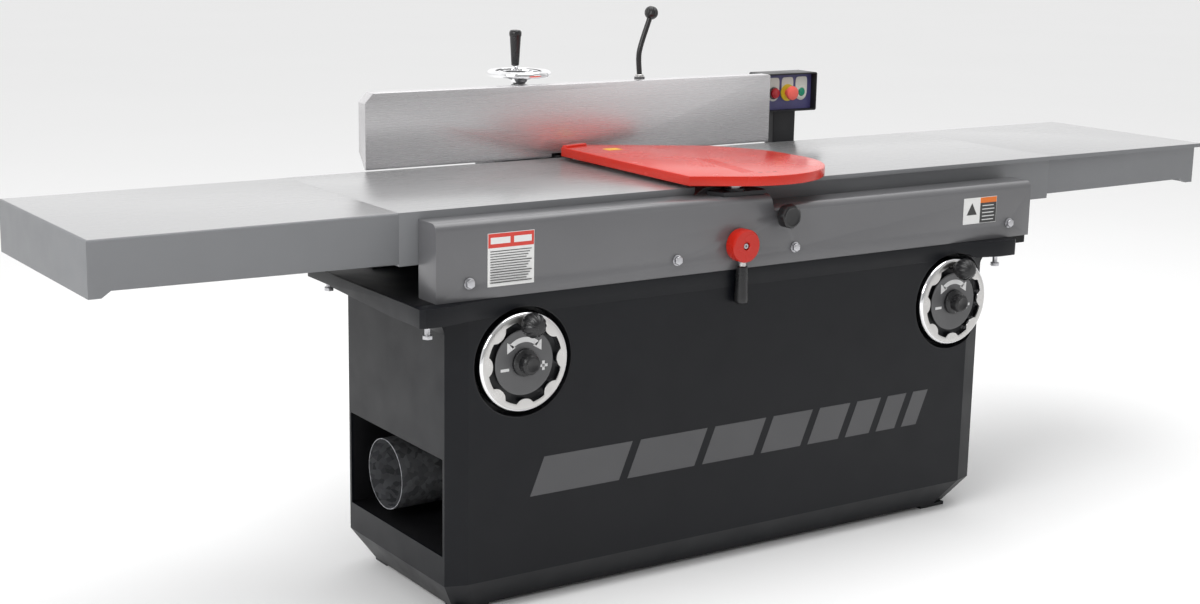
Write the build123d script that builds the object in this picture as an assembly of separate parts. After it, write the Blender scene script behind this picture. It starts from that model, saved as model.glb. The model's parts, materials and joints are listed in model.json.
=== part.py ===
"""Twenty-inch long-bed jointer, millimetres, +Z up, +X from the outfeed end to the infeed end.

The origin is on the floor at the centre of the four anchor holes in the feet.
Every function returns one named piece of the machine, and the last block writes them all.
"""
import os
from math import cos, degrees, pi, radians, sin, tan

from build123d import *

# ---- driving dimensions ------------------------------------------------------------------
TABLE_TOP = 848.0                  # work surface above the floor
TABLE_WIDTH = 530.0
TABLE_FRONT = -155.0               # front edge of the work surface
TABLE_BACK = TABLE_FRONT + TABLE_WIDTH
OUT_END, OUT_JOINT = -1437.0, -809.0
IN_JOINT, IN_END = 1035.0, 1603.0
SKIRT_DROP = 108.0                 # work surface to the bottom of a main casting
PLATE = 12.0
WALL = 14.0

HEAD_X = -37.0                     # cutterhead axis
HEAD_R = 60.0
HEAD_Z = TABLE_TOP - 61.5
THROAT = 46.0                      # half the gap between the table lips
HEAD_ROOM = 68.0                   # radius cleared in the castings round the head

CAB_X0, CAB_X1 = -740.0, 741.0
CAB_Y0, CAB_Y1 = -230.0, 231.0
CAB_Z0, CAB_Z1 = 8.0, 635.0
CAB_WALL = 6.0
CHAMFER_IN, CHAMFER_UP = 42.0, 66.0
BED_Z0, BED_Z1 = 653.0, 673.0      # bed plate on top of the cabinet flange
BED_X0, BED_X1 = -809.0, 882.0
BED_Y0, BED_Y1 = -220.0, 230.0

BEAM_X0, BEAM_X1, BEAM_STEP = -767.0, 883.0, 70.0
BEAM_Y0, BEAM_Y1 = -230.0, -158.0
BEAM_TOP, BEAM_LOW_TOP = TABLE_TOP - 15.0, TABLE_TOP - 42.0
BEAM_BOLTS = (-692.0, -181.0, 143.0, 813.0)
BEAM_BOLT_Z = 708.0

WHEEL_Z = 532.0
OUT_WHEEL_X, IN_WHEEL_X = -564.0, 638.0
WHEEL_R, DISH_R, DIAL_R = 105.0, 116.0, 69.0
KNOB_R = 84.0                      # crank knob distance from the wheel axis
SHAFT_R = 9.0
FIT = 0.05                         # radial running clearance

SLOPE = 14.0                       # incline of the table ways
SCREW_Y = 60.0
SCREW_R = 10.0
NUT_AT = 250.0                     # nut distance along the screw from the wheel axis
SCREW_LENGTH = 400.0
PAD_BASE_Z = 702.0

PORT_Y, PORT_Z, PORT_R = 82.0, 233.0, 78.0
SPIGOT_X0, SPIGOT_X1 = -721.0, -521.0
BAY_Y0, BAY_Y1, BAY_Z0, BAY_Z1 = -207.0, 208.0, 136.0, 344.0

FENCE_X0, FENCE_X1 = -610.0, 555.0
FENCE_Y0, FENCE_Y1 = 385.0, 418.0
FENCE_Z0, FENCE_Z1 = TABLE_TOP + 1.0, TABLE_TOP + 175.0
TILT_Y, TILT_Z = 430.0, 869.0      # fence tilt axis
TILT_WHEEL_X, TILT_WHEEL_Y, TILT_WHEEL_Z = -157.0, 465.0, 1046.0
LEVER_X, LEVER_Y = 183.0, 445.0
BAR_X0, BAR_X1, BAR_Z0, BAR_Z1 = 0.0, 100.0, 852.0, 876.0

GUARD_X, GUARD_Y = -5.0, -195.0    # guard pivot
GUARD_Z0, GUARD_Z1 = TABLE_TOP + 8.0, TABLE_TOP + 30.0

LOCK_X, LOCK_Z = -11.0, 728.0      # red table lock on the beam
KNOB_X, KNOB_Z = 103.0, 785.0      # black clamp knob on the beam

BELT_Y0, BELT_Y1 = 432.0, 478.0
HEAD_PULLEY_R, MOTOR_PULLEY_R = 40.0, 70.0
MOTOR_X, MOTOR_Z, MOTOR_R = 190.0, 330.0, 118.0
JACKS = ((-778.0, -215.0), (790.0, -215.0), (-790.0, 205.0), (790.0, 205.0))

HOOD_X0, HOOD_X1 = 560.0, 731.0
HOOD_Y0, HOOD_Y1 = 407.0, 481.0
HOOD_Z0, HOOD_Z1 = TABLE_TOP + 73.0, TABLE_TOP + 173.0
PANEL_Y = 427.0                    # face of the switch panel
SWITCH_Z = TABLE_TOP + 121.0
STOP_X, ESTOP_X, START_X = 599.0, 646.0, 693.0

FOOT_X, FOOT_Y, ANCHOR_R = 655.0, 160.0, 7.0


# ---- helpers -----------------------------------------------------------------------------
def block(x0, x1, y0, y1, z0, z1):
    """Box between two corners."""
    return Pos((x0 + x1) / 2, (y0 + y1) / 2, (z0 + z1) / 2) * Box(x1 - x0, y1 - y0, z1 - z0)


def rod_y(x, z, y0, y1, r):
    """Cylinder along Y."""
    return Pos(x, (y0 + y1) / 2, z) * Rot(90, 0, 0) * Cylinder(r, y1 - y0)


def rod_x(y, z, x0, x1, r):
    """Cylinder along X."""
    return Pos((x0 + x1) / 2, y, z) * Rot(0, 90, 0) * Cylinder(r, x1 - x0)


def rod_z(x, y, z0, z1, r):
    """Cylinder along Z."""
    return Pos(x, y, (z0 + z1) / 2) * Cylinder(r, z1 - z0)


def prism_y(points, y0, y1):
    """Closed outline of (x, z) points run along Y."""
    face = make_face(Polyline(*[(x, y0, z) for x, z in points], close=True))
    return extrude(face, amount=y1 - y0, dir=(0, 1, 0))


def prism_x(points, x0, x1):
    """Closed outline of (y, z) points run along X."""
    face = make_face(Polyline(*[(x0, y, z) for y, z in points], close=True))
    return extrude(face, amount=x1 - x0, dir=(1, 0, 0))


def prism_z(points, z0, z1):
    """Closed outline of (x, y) points run along Z."""
    face = make_face(Polyline(*[(x, y, z0) for x, y in points], close=True))
    return extrude(face, amount=z1 - z0, dir=(0, 0, 1))


def turned_y(x, z, profile):
    """Solid of revolution about the Y line through (x, z); profile is (radius, y) points."""
    face = make_face(Polyline(*[(r, y, 0) for r, y in profile], close=True))
    return Pos(x, 0, z) * revolve(face, Axis.Y)


def turned_z(x, y, profile):
    """Solid of revolution about the Z line through (x, y); profile is (radius, z) points."""
    face = make_face(Polyline(*[(r, 0, z) for r, z in profile], close=True))
    return Pos(x, y, 0) * revolve(face, Axis.Z)


def hexagon_y(x, z, y0, y1, across):
    """Hexagonal prism along Y."""
    corner = across / 2 / cos(pi / 6)
    return prism_y([(x + corner * cos(k * pi / 3), z + corner * sin(k * pi / 3)) for k in range(6)],
                   y0, y1)


def hexagon_z(x, y, z0, z1, across):
    """Hexagonal prism along Z."""
    corner = across / 2 / cos(pi / 6)
    return prism_z([(x + corner * cos(k * pi / 3), y + corner * sin(k * pi / 3)) for k in range(6)],
                   z0, z1)


def one(shape):
    """The shape as a single solid where it has only one."""
    solids = shape.solids()
    return solids[0] if len(solids) == 1 else Compound(children=list(solids))


# ---- cabinet -----------------------------------------------------------------------------
CORNER_X, CORNER_Y = 47.0, 15.0    # shallow bevel that turns each upright corner


def plan(inset):
    """Cabinet plan outline, moved inwards by inset."""
    x0, x1, y0, y1 = CAB_X0 + inset, CAB_X1 - inset, CAB_Y0 + inset, CAB_Y1 - inset
    return [(x0, y0 + CORNER_Y), (x0 + CORNER_X, y0), (x1 - CORNER_X, y0), (x1, y0 + CORNER_Y),
            (x1, y1 - CORNER_Y), (x1 - CORNER_X, y1), (x0 + CORNER_X, y1), (x0, y1 - CORNER_Y)]


def cabinet_body(inset):
    """Upright walls over a lower part that tapers in to the floor."""
    z0 = CAB_Z0 + inset
    knee = CAB_Z0 + CHAMFER_UP
    upper = prism_z(plan(inset), knee, CAB_Z1)
    low_face = make_face(Polyline(*[(x, y, z0) for x, y in plan(inset + CHAMFER_IN)], close=True))
    knee_face = make_face(Polyline(*[(x, y, knee) for x, y in plan(inset)], close=True))
    return upper + loft([low_face, knee_face], ruled=True)


def cabinet_shell():
    shell = cabinet_body(0.0) - cabinet_body(CAB_WALL)
    shell -= block(CAB_X0 + 20, CAB_X1 - 20, CAB_Y0 + 20, CAB_Y1 - 20, CAB_Z1 - 20, CAB_Z1 + 20)
    shell -= block(CAB_X0 - 5, CAB_X0 + 20, BAY_Y0, BAY_Y1, BAY_Z0, BAY_Z1)
    for x in (OUT_WHEEL_X, IN_WHEEL_X):
        shell -= rod_y(x, WHEEL_Z, CAB_Y0 - 5, CAB_Y0 + 51, DISH_R + 2)
    shell -= block(MOTOR_X - 135, MOTOR_X + 135, CAB_Y1 - 20, CAB_Y1 + 5, MOTOR_Z - 150, MOTOR_Z + 135)
    shell -= block(-540, -180, CAB_Y1 - 20, CAB_Y1 + 5, 180, 520)
    for x in (-FOOT_X, FOOT_X):
        for y in (-FOOT_Y, FOOT_Y):
            shell -= rod_z(x, y, CAB_Z0 - 5, CAB_Z0 + 20, ANCHOR_R)
    return one(shell)


EAR_X, EAR_Y = 815.0, 262.0        # reach of the four lifting ears


def flange_outline():
    """Plan of the cast top flange: a rectangle whose corners run out into ears."""
    quarter = [(EAR_X, -200.0), (EAR_X + 2, -EAR_Y + 8), (EAR_X - 8, -EAR_Y), (760.0, -EAR_Y),
               (700.0, -246.0), (620.0, -231.5)]
    front = [(x, y) for x, y in quarter]
    left = [(-x, y) for x, y in reversed(front)]
    back_right = [(x, -y) for x, y in reversed(front)]
    back_left = [(-x, -y) for x, y in front]
    return front + left + back_left + back_right


def cabinet_flange():
    plate = prism_z(flange_outline(), CAB_Z1, BED_Z0)
    plate -= block(-700, 700, -190, 190, CAB_Z1 - 5, BED_Z0 + 5)
    for side in (-1, 1):
        wedge = prism_x([(-150, CAB_Z1 - 1), (300, CAB_Z1 - 1), (300, CAB_Z1 + 15), (EAR_Y - 60, CAB_Z1 + 13)],
                        min(side * 742, side * 860), max(side * 742, side * 860))
        plate -= wedge
        plate -= block(min(side * 742, side * 860), max(side * 742, side * 860), 150, 300, CAB_Z1 - 5, CAB_Z1 + 12.5)
        edge = CAB_X0 if side < 0 else CAB_X1
        for y0, y1 in ((CAB_Y0 + 16, CAB_Y0 + 76),):
            web = block(min(edge, edge + side * 30), max(edge, edge + side * 30), y0, y1, CAB_Z1 - 30, CAB_Z1)
            plate += web - rod_y(edge + side * 30, CAB_Z1 - 30, y0 - 1, y1 + 1, 30)
    for x, y in JACKS:
        plate -= rod_z(x, y, CAB_Z1 - 5, BED_Z0 + 5, 6.3)
    for x in (OUT_WHEEL_X, IN_WHEEL_X):
        plate -= rod_y(x, WHEEL_Z, CAB_Y0 - 45, CAB_Y0 + 51, DISH_R + 2)
    return one(plate)


def ear_bolts():
    """Jacking screws that hang below the ears, each with a lock nut."""
    bolts = []
    for x, y in JACKS:
        low = CAB_Z1 - 1 if y < 0 else CAB_Z1 + 12
        bolt = rod_z(x, y, 608, BED_Z0 - 1, 6) + hexagon_z(x, y, 602, 610, 19)
        bolts.append(bolt + rod_z(x, y, low - 3, low, 12))
    return Compound(children=[b.solid() for b in bolts])


def floor_feet():
    feet = []
    for x in (-FOOT_X, FOOT_X):
        for y in (-FOOT_Y, FOOT_Y):
            pad = block(x - 38, x + 38, y - 26, y + 26, 0, CAB_Z0)
            feet.append(pad - rod_z(x, y, -1, CAB_Z0 + 1, ANCHOR_R))
    return Compound(children=[f.solid() for f in feet])


def bed_frame():
    """Machined bed plate with ribs below it, screw lugs and the rear bearing bracket."""
    bed = block(BED_X0, BED_X1, BED_Y0, BED_Y1, BED_Z0, BED_Z1)
    for y in (-86.0, 140.0):
        bed += block(-690, 690, y, y + 14, 600, BED_Z0)
    bed += block(-120, 46, BED_Y1 - 2, 424, BED_Z0, BED_Z1)
    for x in (-120, 34):
        bed += prism_x([(CAB_Y1 + 4, BED_Z0 + 1), (CAB_Y1 + 4, 600), (400, BED_Z0 + 1)], x, x + 12)
    bed -= block(-108, 34, -145, 187, 590, BED_Z1 + 5)
    for wheel_x, way in ((OUT_WHEEL_X, 1), (IN_WHEEL_X, -1)):
        nut_x = wheel_x + way * NUT_AT * cos(radians(SLOPE))
        bed -= block(nut_x - 95, nut_x + 95, 15, 105, BED_Z0 - 60, BED_Z1 + 5)
        for along in (70.0, 385.0):
            x = wheel_x + way * along * cos(radians(SLOPE))
            z = WHEEL_Z + along * sin(radians(SLOPE))
            bed += block(x - 11, x + 11, SCREW_Y - 26, SCREW_Y + 26, z - 26, BED_Z0 + 2)
        bed -= screw_bar(wheel_x, way, 20, SCREW_LENGTH + 20, SCREW_R + FIT)
    for x in BEAM_BOLTS:
        bed += block(x - 14, x + 14, BED_Y0, BEAM_Y1 - 4, BED_Z1 - 2, BEAM_BOLT_Z + 16)
        bed -= rod_y(x, BEAM_BOLT_Z, BED_Y0 - 5, BEAM_Y1, 6.2)
    return one(bed)


def screw_bar(wheel_x, way, start, end, r):
    """Cylinder along an inclined lead-screw axis."""
    middle = (start + end) / 2
    x = wheel_x + way * middle * cos(radians(SLOPE))
    z = WHEEL_Z + middle * sin(radians(SLOPE))
    tilt = way * (90 - SLOPE)
    return Pos(x, SCREW_Y, z) * Rot(0, tilt, 0) * Cylinder(r, end - start)


WAY_CENTRES = {"out": (-610.0, -230.0), "in": (170.0, 620.0)}


def way_line(centre, way, x):
    """Height of the inclined way at x; way is +1 where it climbs with x."""
    return PAD_BASE_Z + way * (x - centre) * tan(radians(SLOPE))


def table_ways():
    """Inclined ways on the bed, two pairs under each table."""
    pads = []
    for centres, way in ((WAY_CENTRES["out"], 1), (WAY_CENTRES["in"], -1)):
        for c in centres:
            low, high = c - 98, c + 98
            outline = [(low, BED_Z1), (high, BED_Z1), (high, way_line(c, way, high)), (low, way_line(c, way, low))]
            for y in (-130.0, 160.0):
                pads.append(prism_y(outline, y, y + 46))
    return Compound(children=[p.solid() for p in pads])


# ---- tables ------------------------------------------------------------------------------
def hollow(x_cuts, y_cuts, z0, z1, web=12.0):
    """Cells between webs; neighbouring cuts bound one cell each."""
    cells = None
    for xa, xb in zip(x_cuts, x_cuts[1:]):
        for ya, yb in zip(y_cuts, y_cuts[1:]):
            cell = block(xa + web / 2, xb - web / 2, ya + web / 2, yb - web / 2, z0, z1)
            cells = cell if cells is None else cells + cell
    return cells


def spread(a, b, count):
    """Evenly spaced values from a to b."""
    return [a + (b - a) * k / count for k in range(count + 1)]


def main_table(x0, x1, way, centres, overhang, nut_x):
    """Main casting: plate, skirts, webs, way shoes and the nut bracket."""
    z0 = TABLE_TOP - SKIRT_DROP
    body = block(x0, x1, TABLE_FRONT + overhang, TABLE_BACK - overhang, z0, TABLE_TOP)
    if overhang:
        body += block(x0, x1, TABLE_FRONT, TABLE_BACK, TABLE_TOP - PLATE + 2, TABLE_TOP)
    y_in0, y_in1 = TABLE_FRONT + overhang + WALL - 6, TABLE_BACK - overhang - WALL + 6
    body -= hollow(spread(x0 + 8, x1 - 8, round((x1 - x0) / 180)), spread(y_in0, y_in1, 3),
                   z0 - 1, TABLE_TOP - PLATE)
    body -= block(x0 + 16, x1 - 16, y_in0 + 6, y_in1 - 6, z0 - 1, z0 + 26)
    body -= rod_y(HEAD_X, HEAD_Z, TABLE_FRONT - 5, TABLE_BACK + 5, HEAD_ROOM)
    for c in centres:
        if way > 0:
            low, high = c - 35, c + 95
        else:
            low, high = c - 95, c + 35
        outline = [(low, TABLE_TOP - PLATE + 1), (high, TABLE_TOP - PLATE + 1),
                   (high, way_line(c, way, high) + 0.05), (low, way_line(c, way, low) + 0.05)]
        for y in (-128.0, 162.0):
            body += prism_y(outline, y, y + 42)
    nut_z = WHEEL_Z + NUT_AT * sin(radians(SLOPE))
    body += block(nut_x - 20, nut_x + 20, SCREW_Y - 20, SCREW_Y + 20, nut_z - 26, TABLE_TOP - PLATE + 1)
    return body


def outfeed_table():
    nut_x = OUT_WHEEL_X + NUT_AT * cos(radians(SLOPE))
    body = main_table(OUT_JOINT, HEAD_X - THROAT, 1, WAY_CENTRES["out"], 0.0, nut_x)
    body -= screw_bar(OUT_WHEEL_X, 1, 100, 500, SCREW_R + FIT)
    body -= joint_holes(OUT_JOINT)
    return one(body)


def infeed_table():
    nut_x = IN_WHEEL_X - NUT_AT * cos(radians(SLOPE))
    body = main_table(HEAD_X + THROAT, IN_JOINT, -1, WAY_CENTRES["in"], 12.0, nut_x)
    body -= screw_bar(IN_WHEEL_X, -1, 100, 500, SCREW_R + FIT)
    body -= joint_holes(IN_JOINT)
    return one(body)


JOINT_BOLT_Y = (-90.0, 70.0, 150.0, 310.0)
JOINT_BOLT_Z = TABLE_TOP - 55.0


def joint_holes(x):
    """Bolt holes through the flanges where an extension meets its main casting."""
    holes = None
    for y in JOINT_BOLT_Y:
        hole = rod_x(y, JOINT_BOLT_Z, x - 30, x + 30, 6.2)
        holes = hole if holes is None else holes + hole
    return holes


def joint_bolts(x):
    bolts = []
    for y in JOINT_BOLT_Y:
        bolt = rod_x(y, JOINT_BOLT_Z, x - 26, x + 26, 6)
        for side in (-1, 1):
            near, far = sorted((x + side * 14, x + side * 22))
            bolt += rod_x(y, JOINT_BOLT_Z, near, far, 10)
        bolts.append(bolt)
    return Compound(children=[b.solid() for b in bolts])


def extension(joint_x, end_x, overhang, joint_drop, end_drop, lip_drop):
    """Bolted-on table end: its skirt gets shallower outwards and ends in a deep lip."""
    way = 1 if end_x > joint_x else -1
    tip = end_x - way * overhang
    outline = [(joint_x, TABLE_TOP), (tip, TABLE_TOP), (tip, TABLE_TOP - lip_drop),
               (tip - way * 25, TABLE_TOP - lip_drop), (tip - way * 43, TABLE_TOP - end_drop),
               (joint_x, TABLE_TOP - joint_drop)]
    body = prism_y(outline, TABLE_FRONT + overhang, TABLE_BACK - overhang)
    if overhang:
        body += block(min(joint_x, end_x), max(joint_x, end_x), TABLE_FRONT, TABLE_BACK,
                      TABLE_TOP - PLATE + 2, TABLE_TOP)
    near, far = joint_x + way * 8, tip - way * 12
    body -= hollow(spread(min(near, far), max(near, far), 3),
                   spread(TABLE_FRONT + overhang + 8, TABLE_BACK - overhang - 8, 3),
                   TABLE_TOP - 130, TABLE_TOP - PLATE)
    return body - joint_holes(joint_x)


def outfeed_extension():
    body = extension(OUT_JOINT, OUT_END, 0.0, 103.4, 96.6, 109.0)
    rounded = [e for e in body.edges().filter_by(GeomType.LINE)
               if e.center().Z > TABLE_TOP - 0.1 and e.center().X < OUT_JOINT - 5]
    body = fillet(rounded, 5.0)
    return one(body)


def infeed_extension():
    return one(extension(IN_JOINT, IN_END, 12.0, 97.0, 94.0, 105.0))


# ---- front beam and what sits on it ------------------------------------------------------
def front_beam():
    outline = [(BEAM_X0, BED_Z1), (BEAM_X1, BED_Z1), (BEAM_X1, BEAM_LOW_TOP),
               (BEAM_STEP + 8, BEAM_LOW_TOP), (BEAM_STEP, BEAM_TOP), (BEAM_X0, BEAM_TOP)]
    inner = [(BEAM_X0 + 6, BED_Z1 + 6), (BEAM_X1 - 6, BED_Z1 + 6), (BEAM_X1 - 6, BEAM_LOW_TOP - 6),
             (BEAM_STEP + 2, BEAM_LOW_TOP - 6), (BEAM_STEP - 6, BEAM_TOP - 6), (BEAM_X0 + 6, BEAM_TOP - 6)]
    beam = prism_y(outline, BEAM_Y0, BEAM_Y1)
    front_top = [e for e in beam.edges() if abs(e.center().Y - BEAM_Y0) < 0.01
                 and e.center().Z > BEAM_LOW_TOP - 1 and e.length > 100]
    beam = fillet(front_top, 17.0)
    cavity = prism_y(inner, BEAM_Y0 + 6, BEAM_Y1 + 1)
    inner_top = [e for e in cavity.edges() if abs(e.center().Y - BEAM_Y0 - 6) < 0.01
                 and e.center().Z > BEAM_LOW_TOP - 8 and e.length > 100]
    beam -= fillet(inner_top, 11.0)
    for x in BEAM_BOLTS:
        beam -= rod_y(x, BEAM_BOLT_Z, BEAM_Y0 - 5, BEAM_Y0 + 10, 6.2)
        beam -= block(x - 15, x + 15, BED_Y0 - 1, BEAM_Y1 + 1, BED_Z1 - 1, BED_Z1 + 7)
    beam -= block(HEAD_X - 62, HEAD_X + 62, BEAM_Y0 + 6, BEAM_Y1 + 1, BED_Z1 - 1, BED_Z1 + 7)
    beam -= rod_y(LOCK_X, LOCK_Z, BEAM_Y0 - 5, BEAM_Y0 + 10, 8 + FIT)
    beam -= rod_y(KNOB_X, KNOB_Z, BEAM_Y0 - 5, BEAM_Y0 + 10, 5 + FIT)
    return one(beam)


def beam_bolts():
    bolts = []
    for x in BEAM_BOLTS:
        bolt = rod_y(x, BEAM_BOLT_Z, BEAM_Y0 - 2.5, BEAM_Y1 - 8, 6)
        bolt += rod_y(x, BEAM_BOLT_Z, BEAM_Y0 - 2.5, BEAM_Y0, 12)
        bolts.append(bolt + hexagon_y(x, BEAM_BOLT_Z, BEAM_Y0 - 10, BEAM_Y0 - 2, 18))
    return Compound(children=[b.solid() for b in bolts])


def guard_bracket():
    """Black plate on the beam that carries the guard post."""
    plate = prism_z([(-68, -178), (-52, -218), (60, -222), (68, -206), (62, -166), (-40, -162)],
                    BEAM_TOP, BEAM_TOP + 9)
    plate += rod_z(GUARD_X, GUARD_Y, BEAM_TOP, BEAM_TOP + 14, 22)
    plate -= rod_z(GUARD_X, GUARD_Y, BEAM_TOP - 1, BEAM_TOP + 15, 11 + FIT)
    return one(plate)


def guard_post():
    """Sprung post that turns in the bracket and drives the guard hub."""
    return one(turned_z(GUARD_X, GUARD_Y, [(0, BEAM_TOP + 0.5), (11, BEAM_TOP + 0.5), (11, GUARD_Z0 - 5),
                                           (16, GUARD_Z0 - 5), (16, GUARD_Z0 - 0.4), (8, GUARD_Z0 - 0.4),
                                           (8, GUARD_Z1 - 5), (0, GUARD_Z1 - 5)]))


def guard_outline():
    """Plan of the cutterhead guard: straight edge, round front lobe, long back edge."""
    start, tip, crest = (-118.0, -179.0), (-111.0, 345.0), (-61.0, 375.0)
    lobe_in, lobe_mid, lobe_out = (0.0, -242.0), (247.0, -199.0), (311.0, 6.0)
    shoulder = (286.0, 120.0)
    back = (234.0, 208.0)
    return [Line(start, lobe_in), ThreePointArc(lobe_in, lobe_mid, lobe_out),
            ThreePointArc(lobe_out, (306.0, 66.0), shoulder), Line(shoulder, back),
            Line(back, crest), Line(crest, tip), Line(tip, start)]


def guard_plate():
    """Hollow cast guard: flat top, deep rim and a hub for the post."""
    face = Pos(0, 0, GUARD_Z0) * make_face(guard_outline())
    solid = extrude(face, amount=GUARD_Z1 - GUARD_Z0, dir=(0, 0, 1))
    inner = Pos(0, 0, GUARD_Z0) * offset(make_face(guard_outline()), amount=-5.0)
    pocket = extrude(inner, amount=GUARD_Z1 - GUARD_Z0 - 5, dir=(0, 0, 1))
    pocket -= rod_z(GUARD_X, GUARD_Y, GUARD_Z0 - 1, GUARD_Z1, 26)
    body = solid - pocket
    body -= rod_z(GUARD_X, GUARD_Y, GUARD_Z0 - 1, GUARD_Z1 - 5 + 0.4, 8 + FIT)
    return one(body)


def lock_hub():
    """Red hub of the table lock, turning on its bolt, with the crank stud below it."""
    hub = turned_y(LOCK_X, LOCK_Z, [(0, BEAM_Y0 - 0.6), (35.5, BEAM_Y0 - 0.6), (37, BEAM_Y0 - 2),
                                    (37, BEAM_Y0 - 27), (34, BEAM_Y0 - 30), (0, BEAM_Y0 - 30)])
    hub -= rod_y(LOCK_X, LOCK_Z, BEAM_Y0 - 31, BEAM_Y0 - 22, 9)
    hub += hexagon_y(LOCK_X, LOCK_Z, BEAM_Y0 - 26, BEAM_Y0 - 20, 10)
    hub += rod_y(LOCK_X, LOCK_Z, BEAM_Y0 - 1, BEAM_Y0 + 22, 8)
    hub += rod_z(LOCK_X, BEAM_Y0 - 15, LOCK_Z - 48, LOCK_Z - 30, 8)
    return one(hub)


def lock_grip():
    """Black tapered grip screwed on the stud of the red hub."""
    z = LOCK_Z - 48
    return one(turned_z(LOCK_X, BEAM_Y0 - 15, [(0, z), (10.5, z), (11.5, z - 8), (12.5, z - 40), (13.5, z - 64),
                                              (12, z - 71), (7, z - 74), (0, z - 74)]))


def lobed(x, z, y0, y1, r, lobes, depth):
    """Knob head with scalloped grip, along Y."""
    head = rod_y(x, z, y0, y1, r)
    for k in range(lobes):
        a = 2 * pi * (k + 0.5) / lobes
        head -= rod_y(x + (r + depth) * cos(a), z + (r + depth) * sin(a), y0 - 1, y1 + 1, depth * 2.2)
    return head


def clamp_knob():
    head = lobed(KNOB_X, KNOB_Z, BEAM_Y0 - 41, BEAM_Y0 - 14, 27.5, 7, 6.0)
    head += turned_y(KNOB_X, KNOB_Z, [(0, BEAM_Y0 - 14.5), (20, BEAM_Y0 - 14.5), (13, BEAM_Y0 - 0.5), (0, BEAM_Y0 - 0.5)])
    return one(head + rod_y(KNOB_X, KNOB_Z, BEAM_Y0 - 1, BEAM_Y0 + 18, 5))


# ---- table drive -------------------------------------------------------------------------
def wheel_dishes():
    dishes = []
    for x in (OUT_WHEEL_X, IN_WHEEL_X):
        dish = rod_y(x, WHEEL_Z, CAB_Y0 + 0.5, CAB_Y0 + 50, DISH_R + 1.9)
        dish -= rod_y(x, WHEEL_Z, CAB_Y0 - 1, CAB_Y0 + 47, DISH_R)
        dish += rod_y(x, WHEEL_Z, CAB_Y0 + 38, CAB_Y0 + 74, 20)
        dish -= rod_y(x, WHEEL_Z, CAB_Y0 - 1, CAB_Y0 + 80, SHAFT_R + FIT)
        dishes.append(dish & prism_z(plan(0.0), 300, 700))
    return Compound(children=[d.solid() for d in dishes])


def handwheel(x):
    """Handwheel: bevelled rim with eight inner lobes, dished web and hub."""
    y = CAB_Y0
    rim = turned_y(x, WHEEL_Z, [(86, y - 6), (94, y - 8), (WHEEL_R - 3, y - 4), (WHEEL_R, y + 6),
                                (WHEEL_R - 2, y + 13), (94, y + 16), (86, y + 14)])
    for k in range(8):
        a = pi / 4 * k + pi / 2
        rim += rod_y(x + 89 * cos(a), WHEEL_Z + 89 * sin(a), y - 6, y + 10, 14)
    ring = rod_y(x, WHEEL_Z, y - 20, y + 30, WHEEL_R + 20) - rod_y(x, WHEEL_Z, y - 21, y + 31, WHEEL_R - 4)
    rim -= ring & rod_y(x, WHEEL_Z, y - 20, y - 4, WHEEL_R + 30)
    web = turned_y(x, WHEEL_Z, [(0, y + 14), (92, y + 8), (92, y + 14), (30, y + 26), (0, y + 26)])
    wheel = rim + web + rod_y(x, WHEEL_Z, y + 6, y + 36, 24)
    wheel -= rod_y(x, WHEEL_Z, y - 1, y + 40, SHAFT_R)
    return one(wheel)


def dial(x):
    """Direction disc in front of the web."""
    disc = turned_y(x, WHEEL_Z, [(12, CAB_Y0 + 3), (DIAL_R - 1, CAB_Y0 + 3), (DIAL_R, CAB_Y0 + 4),
                                 (DIAL_R, CAB_Y0 + 6), (12, CAB_Y0 + 6)])
    return one(disc)


def wheel_shaft(x):
    """Drive shaft with its mitre gear at the inner end."""
    shaft = rod_y(x, WHEEL_Z, CAB_Y0 + 7, SCREW_Y - 14, SHAFT_R)
    gear = turned_y(x, WHEEL_Z, [(0, SCREW_Y - 32), (14, SCREW_Y - 32), (22.5, SCREW_Y - 24), (12.5, SCREW_Y - 14),
                                 (0, SCREW_Y - 14)])
    return one(shaft + gear)


def lock_knob(x):
    """Stepped hub knob that locks the shaft."""
    y = CAB_Y0
    knob = turned_y(x, WHEEL_Z, [(0, y + 1), (9, y + 1), (9, y - 2), (28, y - 2), (29, y - 5), (26, y - 9), (26, y - 14),
                                 (22, y - 17), (18, y - 18), (18.5, y - 44), (16, y - 49), (0, y - 49)])
    return one(knob)


def rim_knob(x):
    """Ball crank knob on the rim."""
    z = WHEEL_Z + KNOB_R
    y = CAB_Y0 - 6
    ball = Pos(x, y - 28, z) * Sphere(23)
    neck = rod_y(x, z, y - 12, y - 2.6, 10)
    return one(ball + neck)


def lead_screw(wheel_x, way):
    """Inclined lead screw with its mitre gear."""
    screw = screw_bar(wheel_x, way, 18, SCREW_LENGTH, SCREW_R)
    points = [(0, 14), (12.5, 14), (22.5, 24), (14, 32), (0, 32)]
    face = make_face(Polyline(*[(r, 0, s) for r, s in points], close=True))
    gear = revolve(face, Axis.Z)
    screw += Pos(wheel_x, SCREW_Y, WHEEL_Z) * Rot(0, way * (90 - SLOPE), 0) * gear
    for k in range(12):
        groove = screw_bar(wheel_x, way, 110 + 22 * k, 112 + 22 * k, SCREW_R + 1)
        screw -= groove - screw_bar(wheel_x, way, 100 + 22 * k, 120 + 22 * k, SCREW_R - 0.8)
    return one(screw)


# ---- cutterhead and drive ----------------------------------------------------------------
def cutterhead():
    head = rod_y(HEAD_X, HEAD_Z, TABLE_FRONT + 2, TABLE_BACK - 2, HEAD_R)
    head += rod_y(HEAD_X, HEAD_Z, TABLE_FRONT - 62, TABLE_BACK + 105, 17)
    for _row, y, angle in insert_places():
        pocket = Pos(0, y, 0) * Box(19, 15.6, 7)
        head -= Pos(HEAD_X, 0, HEAD_Z) * Rot(0, angle, 0) * Pos(0, 0, HEAD_R) * pocket
    return one(head)


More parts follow.
